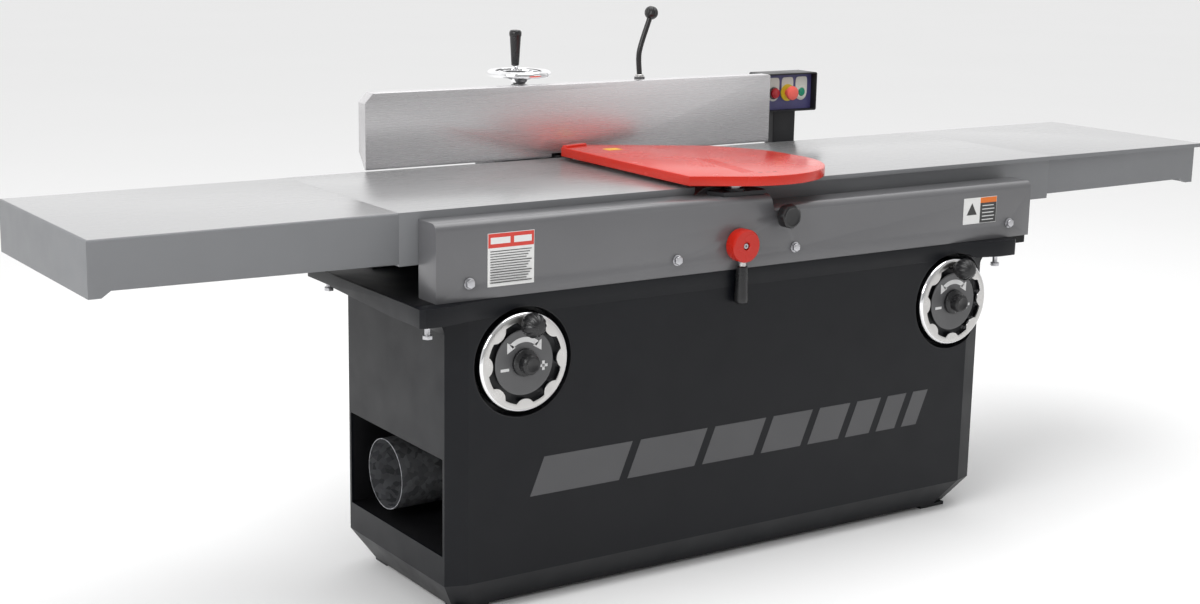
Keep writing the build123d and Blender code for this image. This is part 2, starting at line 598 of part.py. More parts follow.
def insert_places():
    """Staggered spiral rows of square cutters: (row, y, angle)."""
    places = []
    for row in range(5):
        for k in range(14):
            y = TABLE_FRONT + 22 + k * 37.0 + row * 7.0
            places.append((row, y, row * 72.0 + k * 9.0))
    return [p for p in places if p[1] < TABLE_BACK - 14]


def cutter_inserts():
    cutters = []
    for _row, y, angle in insert_places():
        tip = Pos(0, y, 0) * Box(15, 15, 4)
        cutters.append(Pos(HEAD_X, 0, HEAD_Z) * Rot(0, angle, 0) * Pos(0, 0, HEAD_R - 1.5) * tip)
    return Compound(children=[c.solid() for c in cutters])


def bearing_blocks():
    """Front and rear pillow blocks that carry the head bearings."""
    blocks = []
    for y0, y1 in ((-208.0, -162.0), (380.0, 420.0)):
        body = block(HEAD_X - 55, HEAD_X + 55, y0, y1, BED_Z1, HEAD_Z) + rod_y(HEAD_X, HEAD_Z, y0, y1, 40)
        body -= rod_y(HEAD_X, HEAD_Z, y0 - 1, y1 + 1, 31)
        blocks.append(body)
    return Compound(children=[b.solid() for b in blocks])


def head_bearings():
    rings = []
    for y0, y1 in ((-202.0, -168.0), (385.0, 415.0)):
        rings.append(rod_y(HEAD_X, HEAD_Z, y0, y1, 31) - rod_y(HEAD_X, HEAD_Z, y0 - 1, y1 + 1, 17 + FIT))
    return Compound(children=[r.solid() for r in rings])


def grooved_pulley(x, z, r, bore):
    """Four-groove V-belt pulley along Y."""
    pulley = rod_y(x, z, BELT_Y0, BELT_Y1, r)
    for k in range(4):
        y = BELT_Y0 + 6 + 11.3 * k
        pulley -= turned_y(x, z, [(r - 8, y - 1.5), (r + 1, y - 4.6), (r + 1, y + 4.6), (r - 8, y + 1.5)])
    return pulley - rod_y(x, z, BELT_Y0 - 1, BELT_Y1 + 1, bore)


def head_pulley():
    return one(grooved_pulley(HEAD_X, HEAD_Z, HEAD_PULLEY_R, 17))


def motor_pulley():
    """Pulley keyed on the motor shaft."""
    pulley = grooved_pulley(MOTOR_X, MOTOR_Z, MOTOR_PULLEY_R, 16)
    return one(pulley + rod_y(MOTOR_X, MOTOR_Z, 402, BELT_Y1 + 4, 16))


def belt_loop(grow, y0, y1):
    """Outline round both pulleys, grown outwards, run along Y."""
    x0, z0, r0 = HEAD_X, HEAD_Z, HEAD_PULLEY_R + grow
    x1, z1, r1 = MOTOR_X, MOTOR_Z, MOTOR_PULLEY_R + grow
    dx, dz = x1 - x0, z1 - z0
    gap = (dx * dx + dz * dz) ** 0.5
    ux, uz = dx / gap, dz / gap
    lean = (r0 - r1) / gap
    side = (1 - lean * lean) ** 0.5
    corners = []
    for sign in (1, -1):
        nx, nz = ux * lean - sign * uz * side, uz * lean + sign * ux * side
        corners.append(((x0 + nx * r0, z0 + nz * r0), (x1 + nx * r1, z1 + nz * r1)))
    web = prism_y([corners[0][0], corners[0][1], corners[1][1], corners[1][0]], y0, y1)
    return web + rod_y(x0, z0, y0, y1, r0) + rod_y(x1, z1, y0, y1, r1)


def drive_belts():
    belts = []
    for k in range(4):
        y = BELT_Y0 + 6 + 11.3 * k
        belts.append(belt_loop(4.0, y - 3.6, y + 3.6) - belt_loop(0.5, y - 4, y + 4))
    return Compound(children=[b.solid() for b in belts])


def belt_guard():
    """Sheet cover over the belts, open to the pulleys only at its shaft holes."""
    cover = belt_loop(24.0, BELT_Y0 - 6, BELT_Y1 + 14) - belt_loop(21.0, BELT_Y0 - 3, BELT_Y1 + 11)
    cover -= rod_y(HEAD_X, HEAD_Z, BELT_Y0 - 10, BELT_Y0, 22)
    cover -= rod_y(MOTOR_X, MOTOR_Z, BELT_Y0 - 10, BELT_Y0, 24)
    cover -= block(HEAD_X - 100, HEAD_X + 100, BELT_Y0 - 10, BELT_Y1 + 20, TABLE_TOP - 4, TABLE_TOP + 60)
    return one(cover)


def motor():
    """Foot-mounted motor: finned barrel, end bells, terminal box."""
    y0, y1 = 60.0, 396.0
    body = rod_y(MOTOR_X, MOTOR_Z, y0 + 50, y1 - 30, MOTOR_R - 10)
    for k in range(24):
        a = 2 * pi * k / 24
        fin = Pos(MOTOR_X, (y0 + y1 + 20) / 2, MOTOR_Z) * Rot(0, degrees(a), 0) * Pos(0, 0, MOTOR_R - 8)
        body += fin * Box(4, y1 - y0 - 90, 16)
    body += rod_y(MOTOR_X, MOTOR_Z, y0, y0 + 52, MOTOR_R - 4) + rod_y(MOTOR_X, MOTOR_Z, y1 - 32, y1, MOTOR_R - 6)
    body += block(MOTOR_X + 90, MOTOR_X + 175, 116, 210, MOTOR_Z - 45, MOTOR_Z + 45)
    body += block(MOTOR_X - 95, MOTOR_X + 95, 130, 330, MOTOR_Z - MOTOR_R - 6, MOTOR_Z - MOTOR_R + 20)
    body -= rod_y(MOTOR_X, MOTOR_Z, y1 - 20, y1 + 1, 30)
    return one(body)


def motor_plate():
    """Slotted plate that carries the motor and stands on the cabinet floor."""
    top = MOTOR_Z - MOTOR_R - 6
    plate = block(MOTOR_X - 120, MOTOR_X + 120, 110, 350, top - 12, top)
    for x in (MOTOR_X - 100, MOTOR_X + 88):
        plate += block(x, x + 12, 112, 175, CAB_Z0 + CAB_WALL, top - 12)
    return one(plate)


# ---- chip extraction ---------------------------------------------------------------------
def funnel(z0, half_x0, y0, z1, half_x1, y1, skin=0.0):
    """Rectangular funnel solid between two heights; y0 and y1 are (front, back), skin thins it."""
    faces = []
    for z, half_x, (front, back) in ((z0, half_x0, y0), (z1, half_x1, y1)):
        left, right = HEAD_X - half_x + skin, HEAD_X + half_x - skin
        ring = [(left, front + skin, z), (right, front + skin, z), (right, back - skin, z), (left, back - skin, z)]
        faces.append(make_face(Polyline(*ring, close=True)))
    return loft(faces, ruled=True)


def chute_solid(skin):
    """Chip tray under the head, neck through the bed, funnel and hopper."""
    neck = (-135.0, 180.0)
    foot = (PORT_Y - 88, PORT_Y + 88)
    tray = funnel(674, 62, neck, 722, 68, (-150.0, 372.0), skin)
    tray += funnel(640, 62, neck, 674, 62, neck, skin)
    tray += funnel(330, 72, foot, 640, 62, neck, skin)
    return tray + funnel(140 + skin, 72, foot, 330, 72, foot, skin)


def dust_chute():
    """Welded tray, funnel, hopper and extraction pipe; a bead stops the hose on the pipe's spigot."""
    chute = chute_solid(0.0) + rod_x(PORT_Y, PORT_Z, -600, HEAD_X - 70, PORT_R - 0.5)
    chute += rod_x(PORT_Y, PORT_Z, SPIGOT_X0, SPIGOT_X1, PORT_R)
    chute += rod_x(PORT_Y, PORT_Z, SPIGOT_X1, SPIGOT_X1 + 7, PORT_R + 3)
    chute -= chute_solid(2.5)
    chute -= rod_x(PORT_Y, PORT_Z, -722, HEAD_X - 60, PORT_R - 2)
    return one(chute)


def dust_bay():
    """Sheet box behind the window in the outfeed end of the cabinet."""
    x0, x1 = CAB_X0 + CAB_WALL, -480.0
    tray = block(x0, x1, BAY_Y0 - 1.5, BAY_Y1 + 1.5, BAY_Z0 - 1.5, BAY_Z1 + 1.5)
    tray -= block(x0 - 1, x1 - 1.5, BAY_Y0, BAY_Y1, BAY_Z0, BAY_Z1)
    tray -= rod_x(PORT_Y, PORT_Z, x1 - 10, x1 + 10, PORT_R + 0.2)
    return one(tray)


def service_panel():
    panel = block(-560, -160, CAB_Y1, CAB_Y1 + 3, 160, 540)
    for k in range(9):
        z = 240 + 24 * k
        panel -= block(-460, -260, CAB_Y1 - 1, CAB_Y1 + 4, z, z + 7)
    return one(panel)


# ---- fence -------------------------------------------------------------------------------
def fence_plate():
    """Tall fence casting: bevelled foot at the back, cut upper corners."""
    section = [(FENCE_Y0, FENCE_Z0), (FENCE_Y0 + 5, FENCE_Z0), (FENCE_Y1, FENCE_Z0 + 39), (FENCE_Y1, FENCE_Z1),
               (FENCE_Y0, FENCE_Z1)]
    plate = prism_x(section, FENCE_X0, FENCE_X1)
    plate -= prism_y([(FENCE_X0 - 1, FENCE_Z1 - 23), (FENCE_X0 - 1, FENCE_Z1 + 1), (FENCE_X0 + 22, FENCE_Z1 + 1)],
                     FENCE_Y0 - 1, FENCE_Y1 + 1)
    corner = [e for e in plate.edges().filter_by(Axis.Y) if e.center().X > FENCE_X1 - 1 and e.center().Z > FENCE_Z1 - 1]
    plate = fillet(corner, 6.0)
    plate -= block(HEAD_X - 75, HEAD_X + 75, FENCE_Y0 - 1, FENCE_Y1 + 1, FENCE_Z0 - 1, FENCE_Z0 + 9)
    return one(plate)


ARM_X = ((-224.0, -94.0), (118.0, 248.0))


def fence_bracket():
    """Rear casting bolted to the fence: two arms with tilt lugs, joined by a top rail."""
    body = block(ARM_X[0][0], ARM_X[1][1], FENCE_Y1, FENCE_Y1 + 20, 985, 1016)
    for x0, x1 in ARM_X:
        body += prism_x([(FENCE_Y1, 905), (FENCE_Y1 + 30, 905), (FENCE_Y1 + 40, 930), (FENCE_Y1 + 40, 1004),
                         (FENCE_Y1 + 24, 1016), (FENCE_Y1, 1016)], x0, x1)
        for x in (x0, x1 - 16):
            body += block(x, x + 16, FENCE_Y1, TILT_Y + 10, TILT_Z, 910) + rod_x(TILT_Y, TILT_Z, x, x + 16, 13)
            body -= rod_x(TILT_Y, TILT_Z, x - 1, x + 17, 8 + FIT)
        body -= block(x0 - 1, x1 + 1, FENCE_Y0, FENCE_Y1, 840, 1020)
    body += rod_z(TILT_WHEEL_X, TILT_WHEEL_Y, 930, 1018, 19)
    body -= rod_z(TILT_WHEEL_X, TILT_WHEEL_Y, 800, 1020, 8 + FIT)
    body += rod_z(LEVER_X, LEVER_Y, 1000, 1026, 13)
    body -= rod_z(LEVER_X, LEVER_Y, 1008, 1030, 8 + FIT)
    back_of_fence = [(FENCE_Y0, FENCE_Z0), (FENCE_Y0 + 5, FENCE_Z0), (FENCE_Y1, FENCE_Z0 + 39), (FENCE_Y1, FENCE_Z1)]
    wedge = prism_x(back_of_fence, ARM_X[0][0] - 1, ARM_X[1][1] + 1)
    return one(body - wedge)


def fence_carriage():
    """Slide bar, cross plate and four pivot ears with their tilt pins."""
    body = block(BAR_X0, BAR_X1, 436, 925, BAR_Z0, BAR_Z1)
    body += block(ARM_X[0][0] - 20, ARM_X[1][1] + 20, 446, 496, BAR_Z0, BAR_Z0 + 12)
    for x0, x1 in ARM_X:
        for x in (x0 + 17, x1 - 33):
            body += block(x, x + 16, 424, 460, BAR_Z0, BAR_Z0 + 14) + rod_x(TILT_Y, TILT_Z, x, x + 16, 12)
        body += rod_x(TILT_Y, TILT_Z, x0 - 3, x1 + 3, 8)
    return one(body)


def tilt_wheel():
    """Chrome wheel on an upright shaft: round rim, dished web with holes, crank pin."""
    x, y, z = TILT_WHEEL_X, TILT_WHEEL_Y, TILT_WHEEL_Z
    web = [(0, 1020), (15, 1020), (24, 1026), (66, z - 3), (66, z + 4), (26, 1035), (18, 1040), (0, 1040)]
    wheel = turned_z(x, y, web) + Pos(x, y, z) * Torus(69, 7.5)
    for k in range(5):
        a = radians(72 * k + 68 + 36)
        wheel -= rod_z(x + 44 * cos(a), y + 44 * sin(a), 1000, 1060, 12)
    wheel += rod_z(x, y, 912, 1022, 8)
    a = radians(68)
    wheel += rod_z(x + 60 * cos(a), y + 60 * sin(a), 1038, 1058, 8)
    return one(wheel)


def tilt_wheel_grip():
    """Tapered grip that turns on the wheel's crank pin."""
    a = radians(68)
    x, y = TILT_WHEEL_X + 60 * cos(a), TILT_WHEEL_Y + 60 * sin(a)
    return one(turned_z(x, y, [(0, 1058.5), (9, 1058.5), (10, 1064), (13, 1130), (15, 1136), (14, 1142), (9, 1145),
                               (0, 1145)]))


def fence_lever():
    """Cranked lock lever with a ball knob, standing in the bracket boss."""
    lower = (LEVER_X, LEVER_Y, 1009)
    bend = (LEVER_X - 3, LEVER_Y, 1080)
    top = (LEVER_X + 29, LEVER_Y - 4, 1184)
    path = Polyline(lower, bend, top)
    path = FilletPolyline(lower, bend, top, radius=60)
    profile = Plane(origin=lower, z_dir=path % 0) * Circle(6.6)
    rod = sweep(profile, path)
    rod += rod_z(LEVER_X, LEVER_Y, 1008.5, 1027, 8)
    ball = Pos(*top) * Sphere(17)
    return one(rod + ball)


def fence_support():
    """Saddle behind the table: two side arms from the bed and a guide block for the bar."""
    body = block(-200, 190, 520, 600, 790, 846) + block(BAR_X0 - 30, BAR_X1 + 30, 520, 600, 840, 896)
    body -= block(BAR_X0 - 0.3, BAR_X1 + 0.3, 515, 605, BAR_Z0 - 0.3, BAR_Z1 + 0.3)
    for x in (-200.0, 170.0):
        body += prism_x([(222, BED_Z1), (222, 698), (386, 704), (520, 846), (600, 846), (600, 760), (400, BED_Z1)],
                        x, x + 20)
        body += block(x - 12, x + 32, 210, 229, BED_Z1, BED_Z1 + 14)
    return one(body)


# ---- control station ---------------------------------------------------------------------
def control_post():
    """Square tube from the bed plate up behind the infeed table."""
    post = block(598, 671, 420, 455, 640, HOOD_Z0)
    post += block(598, 671, BED_Y1, 440, BED_Z0, BED_Z1)
    post -= block(603, 666, 425, 450, BED_Z1 + 5, HOOD_Z0 + 1)
    return one(post)


def control_hood():
    """Sheet hood, open to the operator."""
    hood = block(HOOD_X0, HOOD_X1, HOOD_Y0, HOOD_Y1, HOOD_Z0, HOOD_Z1)
    hood = fillet(hood.edges().filter_by(Axis.Y), 5.0)
    hood -= block(HOOD_X0 + 4, HOOD_X1 - 4, HOOD_Y0 - 1, PANEL_Y + 3, HOOD_Z0 + 4, HOOD_Z1 - 4)
    hood -= block(HOOD_X0 + 10, HOOD_X1 - 10, PANEL_Y, HOOD_Y1 - 4, HOOD_Z0 + 10, HOOD_Z1 - 10)
    return one(hood)


def control_panel():
    """Switch panel with its three guide bores, and the switch bodies' back box."""
    panel = block(HOOD_X0 + 4, HOOD_X1 - 4, PANEL_Y, PANEL_Y + 3, HOOD_Z0 + 4, HOOD_Z1 - 4)
    for x, r in ((STOP_X, 8.0), (ESTOP_X, 8.0), (START_X, 8.0)):
        panel += rod_y(x, SWITCH_Z, PANEL_Y + 2, PANEL_Y + 30, r + 5)
        panel -= rod_y(x, SWITCH_Z, PANEL_Y - 1, PANEL_Y + 26, r + FIT)
    panel -= rod_y(START_X, SWITCH_Z, PANEL_Y - 1, PANEL_Y + 3, 12.4)
    return one(panel)


def estop_ring():
    """Yellow collar round the stop mushroom."""
    ring = rod_y(ESTOP_X, SWITCH_Z, PANEL_Y - 3, PANEL_Y, 22)
    return one(ring - rod_y(ESTOP_X, SWITCH_Z, PANEL_Y - 4, PANEL_Y + 1, 9))


def stop_button():
    cap = rod_y(STOP_X, SWITCH_Z, PANEL_Y - 14, PANEL_Y - 6, 13.5)
    return one(cap + rod_y(STOP_X, SWITCH_Z, PANEL_Y - 8, PANEL_Y + 16, 8))


def start_button():
    cap = rod_y(START_X, SWITCH_Z, PANEL_Y - 5, PANEL_Y - 1, 12)
    return one(cap + rod_y(START_X, SWITCH_Z, PANEL_Y - 3, PANEL_Y + 16, 8))


def estop_button():
    cap = turned_y(ESTOP_X, SWITCH_Z, [(0, PANEL_Y - 30), (10, PANEL_Y - 29), (17, PANEL_Y - 25), (19, PANEL_Y - 20),
                                       (17, PANEL_Y - 15), (8, PANEL_Y - 14), (0, PANEL_Y - 14)])
    return one(cap + rod_y(ESTOP_X, SWITCH_Z, PANEL_Y - 16, PANEL_Y + 14, 8))


# ---- write one STEP per piece ------------------------------------------------------------
PIECES = {
    "cabinet_shell": cabinet_shell, "cabinet_flange": cabinet_flange, "ear_bolts": ear_bolts,
    "floor_feet": floor_feet, "bed_frame": bed_frame, "table_ways": table_ways,
    "outfeed_table": outfeed_table, "outfeed_extension": outfeed_extension,
    "outfeed_joint_bolts": lambda: joint_bolts(OUT_JOINT),
    "infeed_table": infeed_table, "infeed_extension": infeed_extension,
    "infeed_joint_bolts": lambda: joint_bolts(IN_JOINT),
    "front_beam": front_beam, "beam_bolts": beam_bolts, "guard_bracket": guard_bracket,
    "guard_post": guard_post, "guard_plate": guard_plate, "lock_hub": lock_hub, "lock_grip": lock_grip,
    "clamp_knob": clamp_knob, "wheel_dishes": wheel_dishes,
    "outfeed_handwheel": lambda: handwheel(OUT_WHEEL_X), "infeed_handwheel": lambda: handwheel(IN_WHEEL_X),
    "outfeed_dial": lambda: dial(OUT_WHEEL_X), "infeed_dial": lambda: dial(IN_WHEEL_X),
    "outfeed_shaft": lambda: wheel_shaft(OUT_WHEEL_X), "infeed_shaft": lambda: wheel_shaft(IN_WHEEL_X),
    "outfeed_lock_knob": lambda: lock_knob(OUT_WHEEL_X), "infeed_lock_knob": lambda: lock_knob(IN_WHEEL_X),
    "outfeed_rim_knob": lambda: rim_knob(OUT_WHEEL_X), "infeed_rim_knob": lambda: rim_knob(IN_WHEEL_X),
    "outfeed_screw": lambda: lead_screw(OUT_WHEEL_X, 1), "infeed_screw": lambda: lead_screw(IN_WHEEL_X, -1),
    "cutterhead": cutterhead, "cutter_inserts": cutter_inserts, "bearing_blocks": bearing_blocks,
    "head_bearings": head_bearings, "head_pulley": head_pulley, "motor_pulley": motor_pulley,
    "drive_belts": drive_belts, "belt_guard": belt_guard, "motor": motor, "motor_plate": motor_plate,
    "dust_chute": dust_chute, "dust_bay": dust_bay, "service_panel": service_panel,
    "fence_plate": fence_plate, "fence_bracket": fence_bracket, "fence_carriage": fence_carriage,
    "tilt_wheel": tilt_wheel, "tilt_wheel_grip": tilt_wheel_grip, "fence_lever": fence_lever,
    "fence_support": fence_support, "control_post": control_post, "control_hood": control_hood,
    "control_panel": control_panel, "estop_ring": estop_ring, "stop_button": stop_button,
    "start_button": start_button, "estop_button": estop_button,
}

os.makedirs("parts", exist_ok=True)
for name, make in PIECES.items():
    export_step(make(), f"parts/{name}.step")
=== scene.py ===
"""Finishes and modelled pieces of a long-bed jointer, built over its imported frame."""
import json
import math

import bpy
from mathutils import Matrix, Vector


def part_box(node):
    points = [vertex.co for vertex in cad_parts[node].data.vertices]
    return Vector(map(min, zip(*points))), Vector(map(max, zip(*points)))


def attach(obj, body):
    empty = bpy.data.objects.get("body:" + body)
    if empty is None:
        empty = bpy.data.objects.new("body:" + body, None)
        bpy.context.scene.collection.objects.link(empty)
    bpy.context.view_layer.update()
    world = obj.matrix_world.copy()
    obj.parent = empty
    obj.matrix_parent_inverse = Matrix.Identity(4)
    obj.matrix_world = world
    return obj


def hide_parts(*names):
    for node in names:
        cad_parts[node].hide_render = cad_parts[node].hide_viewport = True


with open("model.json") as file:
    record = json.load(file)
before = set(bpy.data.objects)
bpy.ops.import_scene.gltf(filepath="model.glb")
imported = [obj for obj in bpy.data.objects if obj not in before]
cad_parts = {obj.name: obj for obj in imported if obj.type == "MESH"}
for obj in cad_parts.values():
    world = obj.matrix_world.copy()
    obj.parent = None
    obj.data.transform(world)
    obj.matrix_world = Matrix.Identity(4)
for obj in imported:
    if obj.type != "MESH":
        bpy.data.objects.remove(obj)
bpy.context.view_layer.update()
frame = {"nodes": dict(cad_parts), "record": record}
nodes = frame["nodes"]
bodies = frame["record"]["behaviour"]["bodies"]
slots = {s["node"]: s["material_slot"] for s in frame["record"]["subparts"]}


# ---- finishes ------------------------------------------------------------------------------
def finish(name, colour, rough, metal=0.0, coat=0.0, specular=0.5):
    """New material; returns it with its node tree and shader."""
    material = bpy.data.materials.new(name)
    material.use_nodes = True
    shader = material.node_tree.nodes["Principled BSDF"]
    shader.inputs["Base Color"].default_value = (*colour, 1)
    shader.inputs["Roughness"].default_value = rough
    shader.inputs["Metallic"].default_value = metal
    shader.inputs["Coat Weight"].default_value = coat
    shader.inputs["Coat Roughness"].default_value = 0.2
    shader.inputs["Specular IOR Level"].default_value = specular
    return material, material.node_tree, shader


def grain(tree, scale, stretch=(1, 1, 1), detail=3.0):
    """Noise on the piece's own coordinates."""
    where = tree.nodes.new("ShaderNodeTexCoord")
    turn = tree.nodes.new("ShaderNodeMapping")
    turn.inputs["Scale"].default_value = stretch
    noise = tree.nodes.new("ShaderNodeTexNoise")
    noise.inputs["Scale"].default_value = scale
    noise.inputs["Detail"].default_value = detail
    tree.links.new(where.outputs["Object"], turn.inputs["Vector"])
    tree.links.new(turn.outputs["Vector"], noise.inputs["Vector"])
    return noise.outputs["Fac"]


def spread(tree, value, low, high, start=0.3, end=0.7):
    """Value run between two numbers."""
    node = tree.nodes.new("ShaderNodeMapRange")
    node.inputs["From Min"].default_value = start
    node.inputs["From Max"].default_value = end
    node.inputs["To Min"].default_value = low
    node.inputs["To Max"].default_value = high
    tree.links.new(value, node.inputs["Value"])
    return node.outputs["Result"]


def blend_colour(tree, factor, first, second):
    """Mix of two colours; each is a colour or another node's output."""
    node = tree.nodes.new("ShaderNodeMix")
    node.data_type = "RGBA"
    tree.links.new(factor, node.inputs["Factor"])
    for socket, colour in ((node.inputs["A"], first), (node.inputs["B"], second)):
        if isinstance(colour, tuple):
            socket.default_value = (*colour, 1)
        else:
            tree.links.new(colour, socket)
    return node.outputs["Result"]


def reckon(tree, kind, first, second):
    """Arithmetic on two values or numbers."""
    node = tree.nodes.new("ShaderNodeMath")
    node.operation = kind
    for socket, value in ((node.inputs[0], first), (node.inputs[1], second)):
        if isinstance(value, (int, float)):
            socket.default_value = value
        else:
            tree.links.new(value, socket)
    return node.outputs["Value"]


def emboss(tree, shader, height, strength, depth):
    """Fine relief."""
    node = tree.nodes.new("ShaderNodeBump")
    node.inputs["Strength"].default_value = strength
    node.inputs["Distance"].default_value = depth
    tree.links.new(height, node.inputs["Height"])
    tree.links.new(node.outputs["Normal"], shader.inputs["Normal"])


def dim(colour, by):
    return tuple(c * by for c in colour)


def shades(tree, factor, colour, low, high):
    """One colour from its low to its high multiple."""
    return blend_colour(tree, factor, dim(colour, low), dim(colour, high))


def feed(tree, shader, socket, value):
    tree.links.new(value, shader.inputs[socket])


def painted(name, colour, rough=0.42, tone=0.10, peel=0.15, metal=0.0, coat=0.0, specular=0.5):
    """Sprayed paint: slow changes of tone, patchy gloss and orange peel."""
    material, tree, shader = finish(name, colour, rough, metal, coat, specular)
    cloud = grain(tree, 2.6, detail=4)
    tint = shades(tree, spread(tree, cloud, 0, 1), colour, 1 - tone, 1 + tone)
    feed(tree, shader, "Base Color", tint)
    patches = grain(tree, 14, detail=5)
    feed(tree, shader, "Roughness", spread(tree, patches, rough - 0.05, rough + 0.06))
    emboss(tree, shader, grain(tree, 420, detail=2), peel, 0.0004)
    return material


def ground(name, colour, rough, run=(3, 700, 700), tone=0.025):
    """Ground iron: fine parallel marks, slight staining."""
    material, tree, shader = finish(name, colour, rough, 0.75)
    marks = grain(tree, 3.0, run, 2)
    stain = grain(tree, 2.2, detail=5)
    halves = [reckon(tree, "MULTIPLY", value, 0.5) for value in (marks, stain)]
    both = reckon(tree, "ADD", *halves)
    tint = shades(tree, spread(tree, both, 0, 1), colour, 1 - tone, 1 + tone)
    feed(tree, shader, "Base Color", tint)
    feed(tree, shader, "Roughness", spread(tree, both, rough - 0.05, rough + 0.08))
    emboss(tree, shader, marks, 0.04, 0.0001)
    return material


def polished(name, colour, rough):
    """Plated metal with faint wipe marks."""
    material, tree, shader = finish(name, colour, rough, 1.0)
    wipe = grain(tree, 40, (1, 3, 1), 4)
    feed(tree, shader, "Roughness", spread(tree, wipe, rough * 0.7, rough * 1.5))
    feed(tree, shader, "Base Color", shades(tree, wipe, colour, 0.94, 1.03))
    return material


def moulded(name, colour, rough=0.34, sparkle=0.25):
    """Moulded plastic with a fine spark-eroded texture."""
    material, tree, shader = finish(name, colour, rough)
    fine = grain(tree, 900, detail=2)
    patches = grain(tree, 30, detail=3)
    feed(tree, shader, "Roughness", spread(tree, patches, rough - 0.05, rough + 0.08))
    feed(tree, shader, "Base Color", shades(tree, fine, colour, 0.85, 1.15))
    emboss(tree, shader, fine, sparkle, 0.0002)
    return material


def spangled(name, colour):
    """Galvanised sheet with crystal spangles."""
    material, tree, shader = finish(name, colour, 0.4, 0.8)
    where = tree.nodes.new("ShaderNodeTexCoord")
    cells = tree.nodes.new("ShaderNodeTexVoronoi")
    cells.inputs["Scale"].default_value = 90
    tree.links.new(where.outputs["Object"], cells.inputs["Vector"])
    tone = tree.nodes.new("ShaderNodeSeparateColor")
    tree.links.new(cells.outputs["Color"], tone.inputs["Color"])
    feed(tree, shader, "Base Color", shades(tree, tone.outputs["Red"], colour, 0.6, 1.5))
    feed(tree, shader, "Roughness", spread(tree, tone.outputs["Green"], 0.3, 0.5, 0, 1))
    return material


def cast(name, colour, rough=0.55):
    """Painted rough casting."""
    material, tree, shader = finish(name, colour, rough)
    sand = grain(tree, 180, detail=4)
    cloud = grain(tree, 5, detail=4)
    feed(tree, shader, "Base Color", shades(tree, spread(tree, cloud, 0, 1), colour, 0.9, 1.1))
    feed(tree, shader, "Roughness", spread(tree, sand, rough - 0.05, rough + 0.1))
    emboss(tree, shader, sand, 0.35, 0.0008)
    return material


CHARCOAL = painted("cabinet_charcoal", (0.0038, 0.0044, 0.0064), 0.38, 0.12, specular=0.24)
BED_BLACK = painted("bed_black", (0.006, 0.006, 0.007), 0.5, specular=0.25)
BEAM_GREY = painted("beam_grey", (0.112, 0.112, 0.118), 0.34, 0.05, coat=0.45)
TABLE_PAINT = painted("table_side_grey", (0.178, 0.182, 0.190), 0.5, 0.05)
TABLE_TOP = ground("table_top_ground", (0.44, 0.44, 0.445), 0.27)
FENCE_FACE = ground("fence_face_ground", (0.62, 0.61, 0.62), 0.25)
GUARD_RED = painted("guard_red", (0.56, 0.020, 0.007), 0.24, 0.05, 0.1, coat=0.18, specular=0.35)
LOCK_RED = painted("lock_red", (0.50, 0.014, 0.005), 0.28, 0.05, 0.1, coat=0.15, specular=0.35)
CASTING = cast("casting_grey", (0.10, 0.10, 0.105))
STEEL = ground("turned_steel", (0.5, 0.5, 0.51), 0.3, (120, 120, 120))
ZINC = polished("zinc_plate", (0.52, 0.52, 0.54), 0.3)
CHROME = polished("chrome_plate", (0.86, 0.86, 0.87), 0.07)
SATIN = polished("satin_chrome", (0.58, 0.57, 0.56), 0.30)
CARBIDE = ground("carbide", (0.2, 0.2, 0.22), 0.3)
BLACK = moulded("black_plastic", (0.012, 0.012, 0.013), 0.30)
BLACK_COAT = painted("black_coat", (0.009, 0.009, 0.011), 0.38, specular=0.35)
DARK_SHEET = painted("dark_sheet", (0.006, 0.006, 0.007), 0.45, specular=0.3)
DIAL_GREY = painted("dial_grey", (0.095, 0.095, 0.098), 0.4, 0.05)
DIAL_MARK = painted("dial_white", (0.66, 0.66, 0.66), 0.45, 0.04)
SPANGLE = spangled("galvanised_sheet", (0.26, 0.265, 0.28))
MOTOR_GREY = cast("motor_grey", (0.06, 0.065, 0.075))
RUBBER = moulded("belt_rubber", (0.01, 0.01, 0.01), 0.7)
PANEL_BLUE = painted("panel_blue", (0.075, 0.07, 0.20), 0.4, 0.08)
PLATE_WHITE = painted("legend_white", (0.72, 0.72, 0.66), 0.45, 0.04)
STOP_RED = moulded("stop_red", (0.42, 0.012, 0.02), 0.25, 0.05)
MUSHROOM = moulded("mushroom_red", (0.86, 0.13, 0.10), 0.35, 0.05)
YELLOW = moulded("ring_yellow", (0.80, 0.62, 0.03), 0.4, 0.05)
GREEN = moulded("start_green", (0.0, 0.26, 0.14), 0.25, 0.05)
STICKER = painted("sticker_yellow", (0.74, 0.42, 0.02), 0.4, 0.04)
LABEL_WHITE = painted("label_white", (0.74, 0.74, 0.73), 0.4, 0.03)
LABEL_RED = painted("label_red", (0.60, 0.045, 0.03), 0.35, 0.04)
LABEL_ORANGE = painted("label_orange", (0.72, 0.16, 0.01), 0.35, 0.04)
STRIPE = painted("stripe_grey", (0.070, 0.070, 0.074), 0.45, 0.05)
LABEL_BLACK = painted("label_black", (0.03, 0.03, 0.03), 0.4, 0.04)

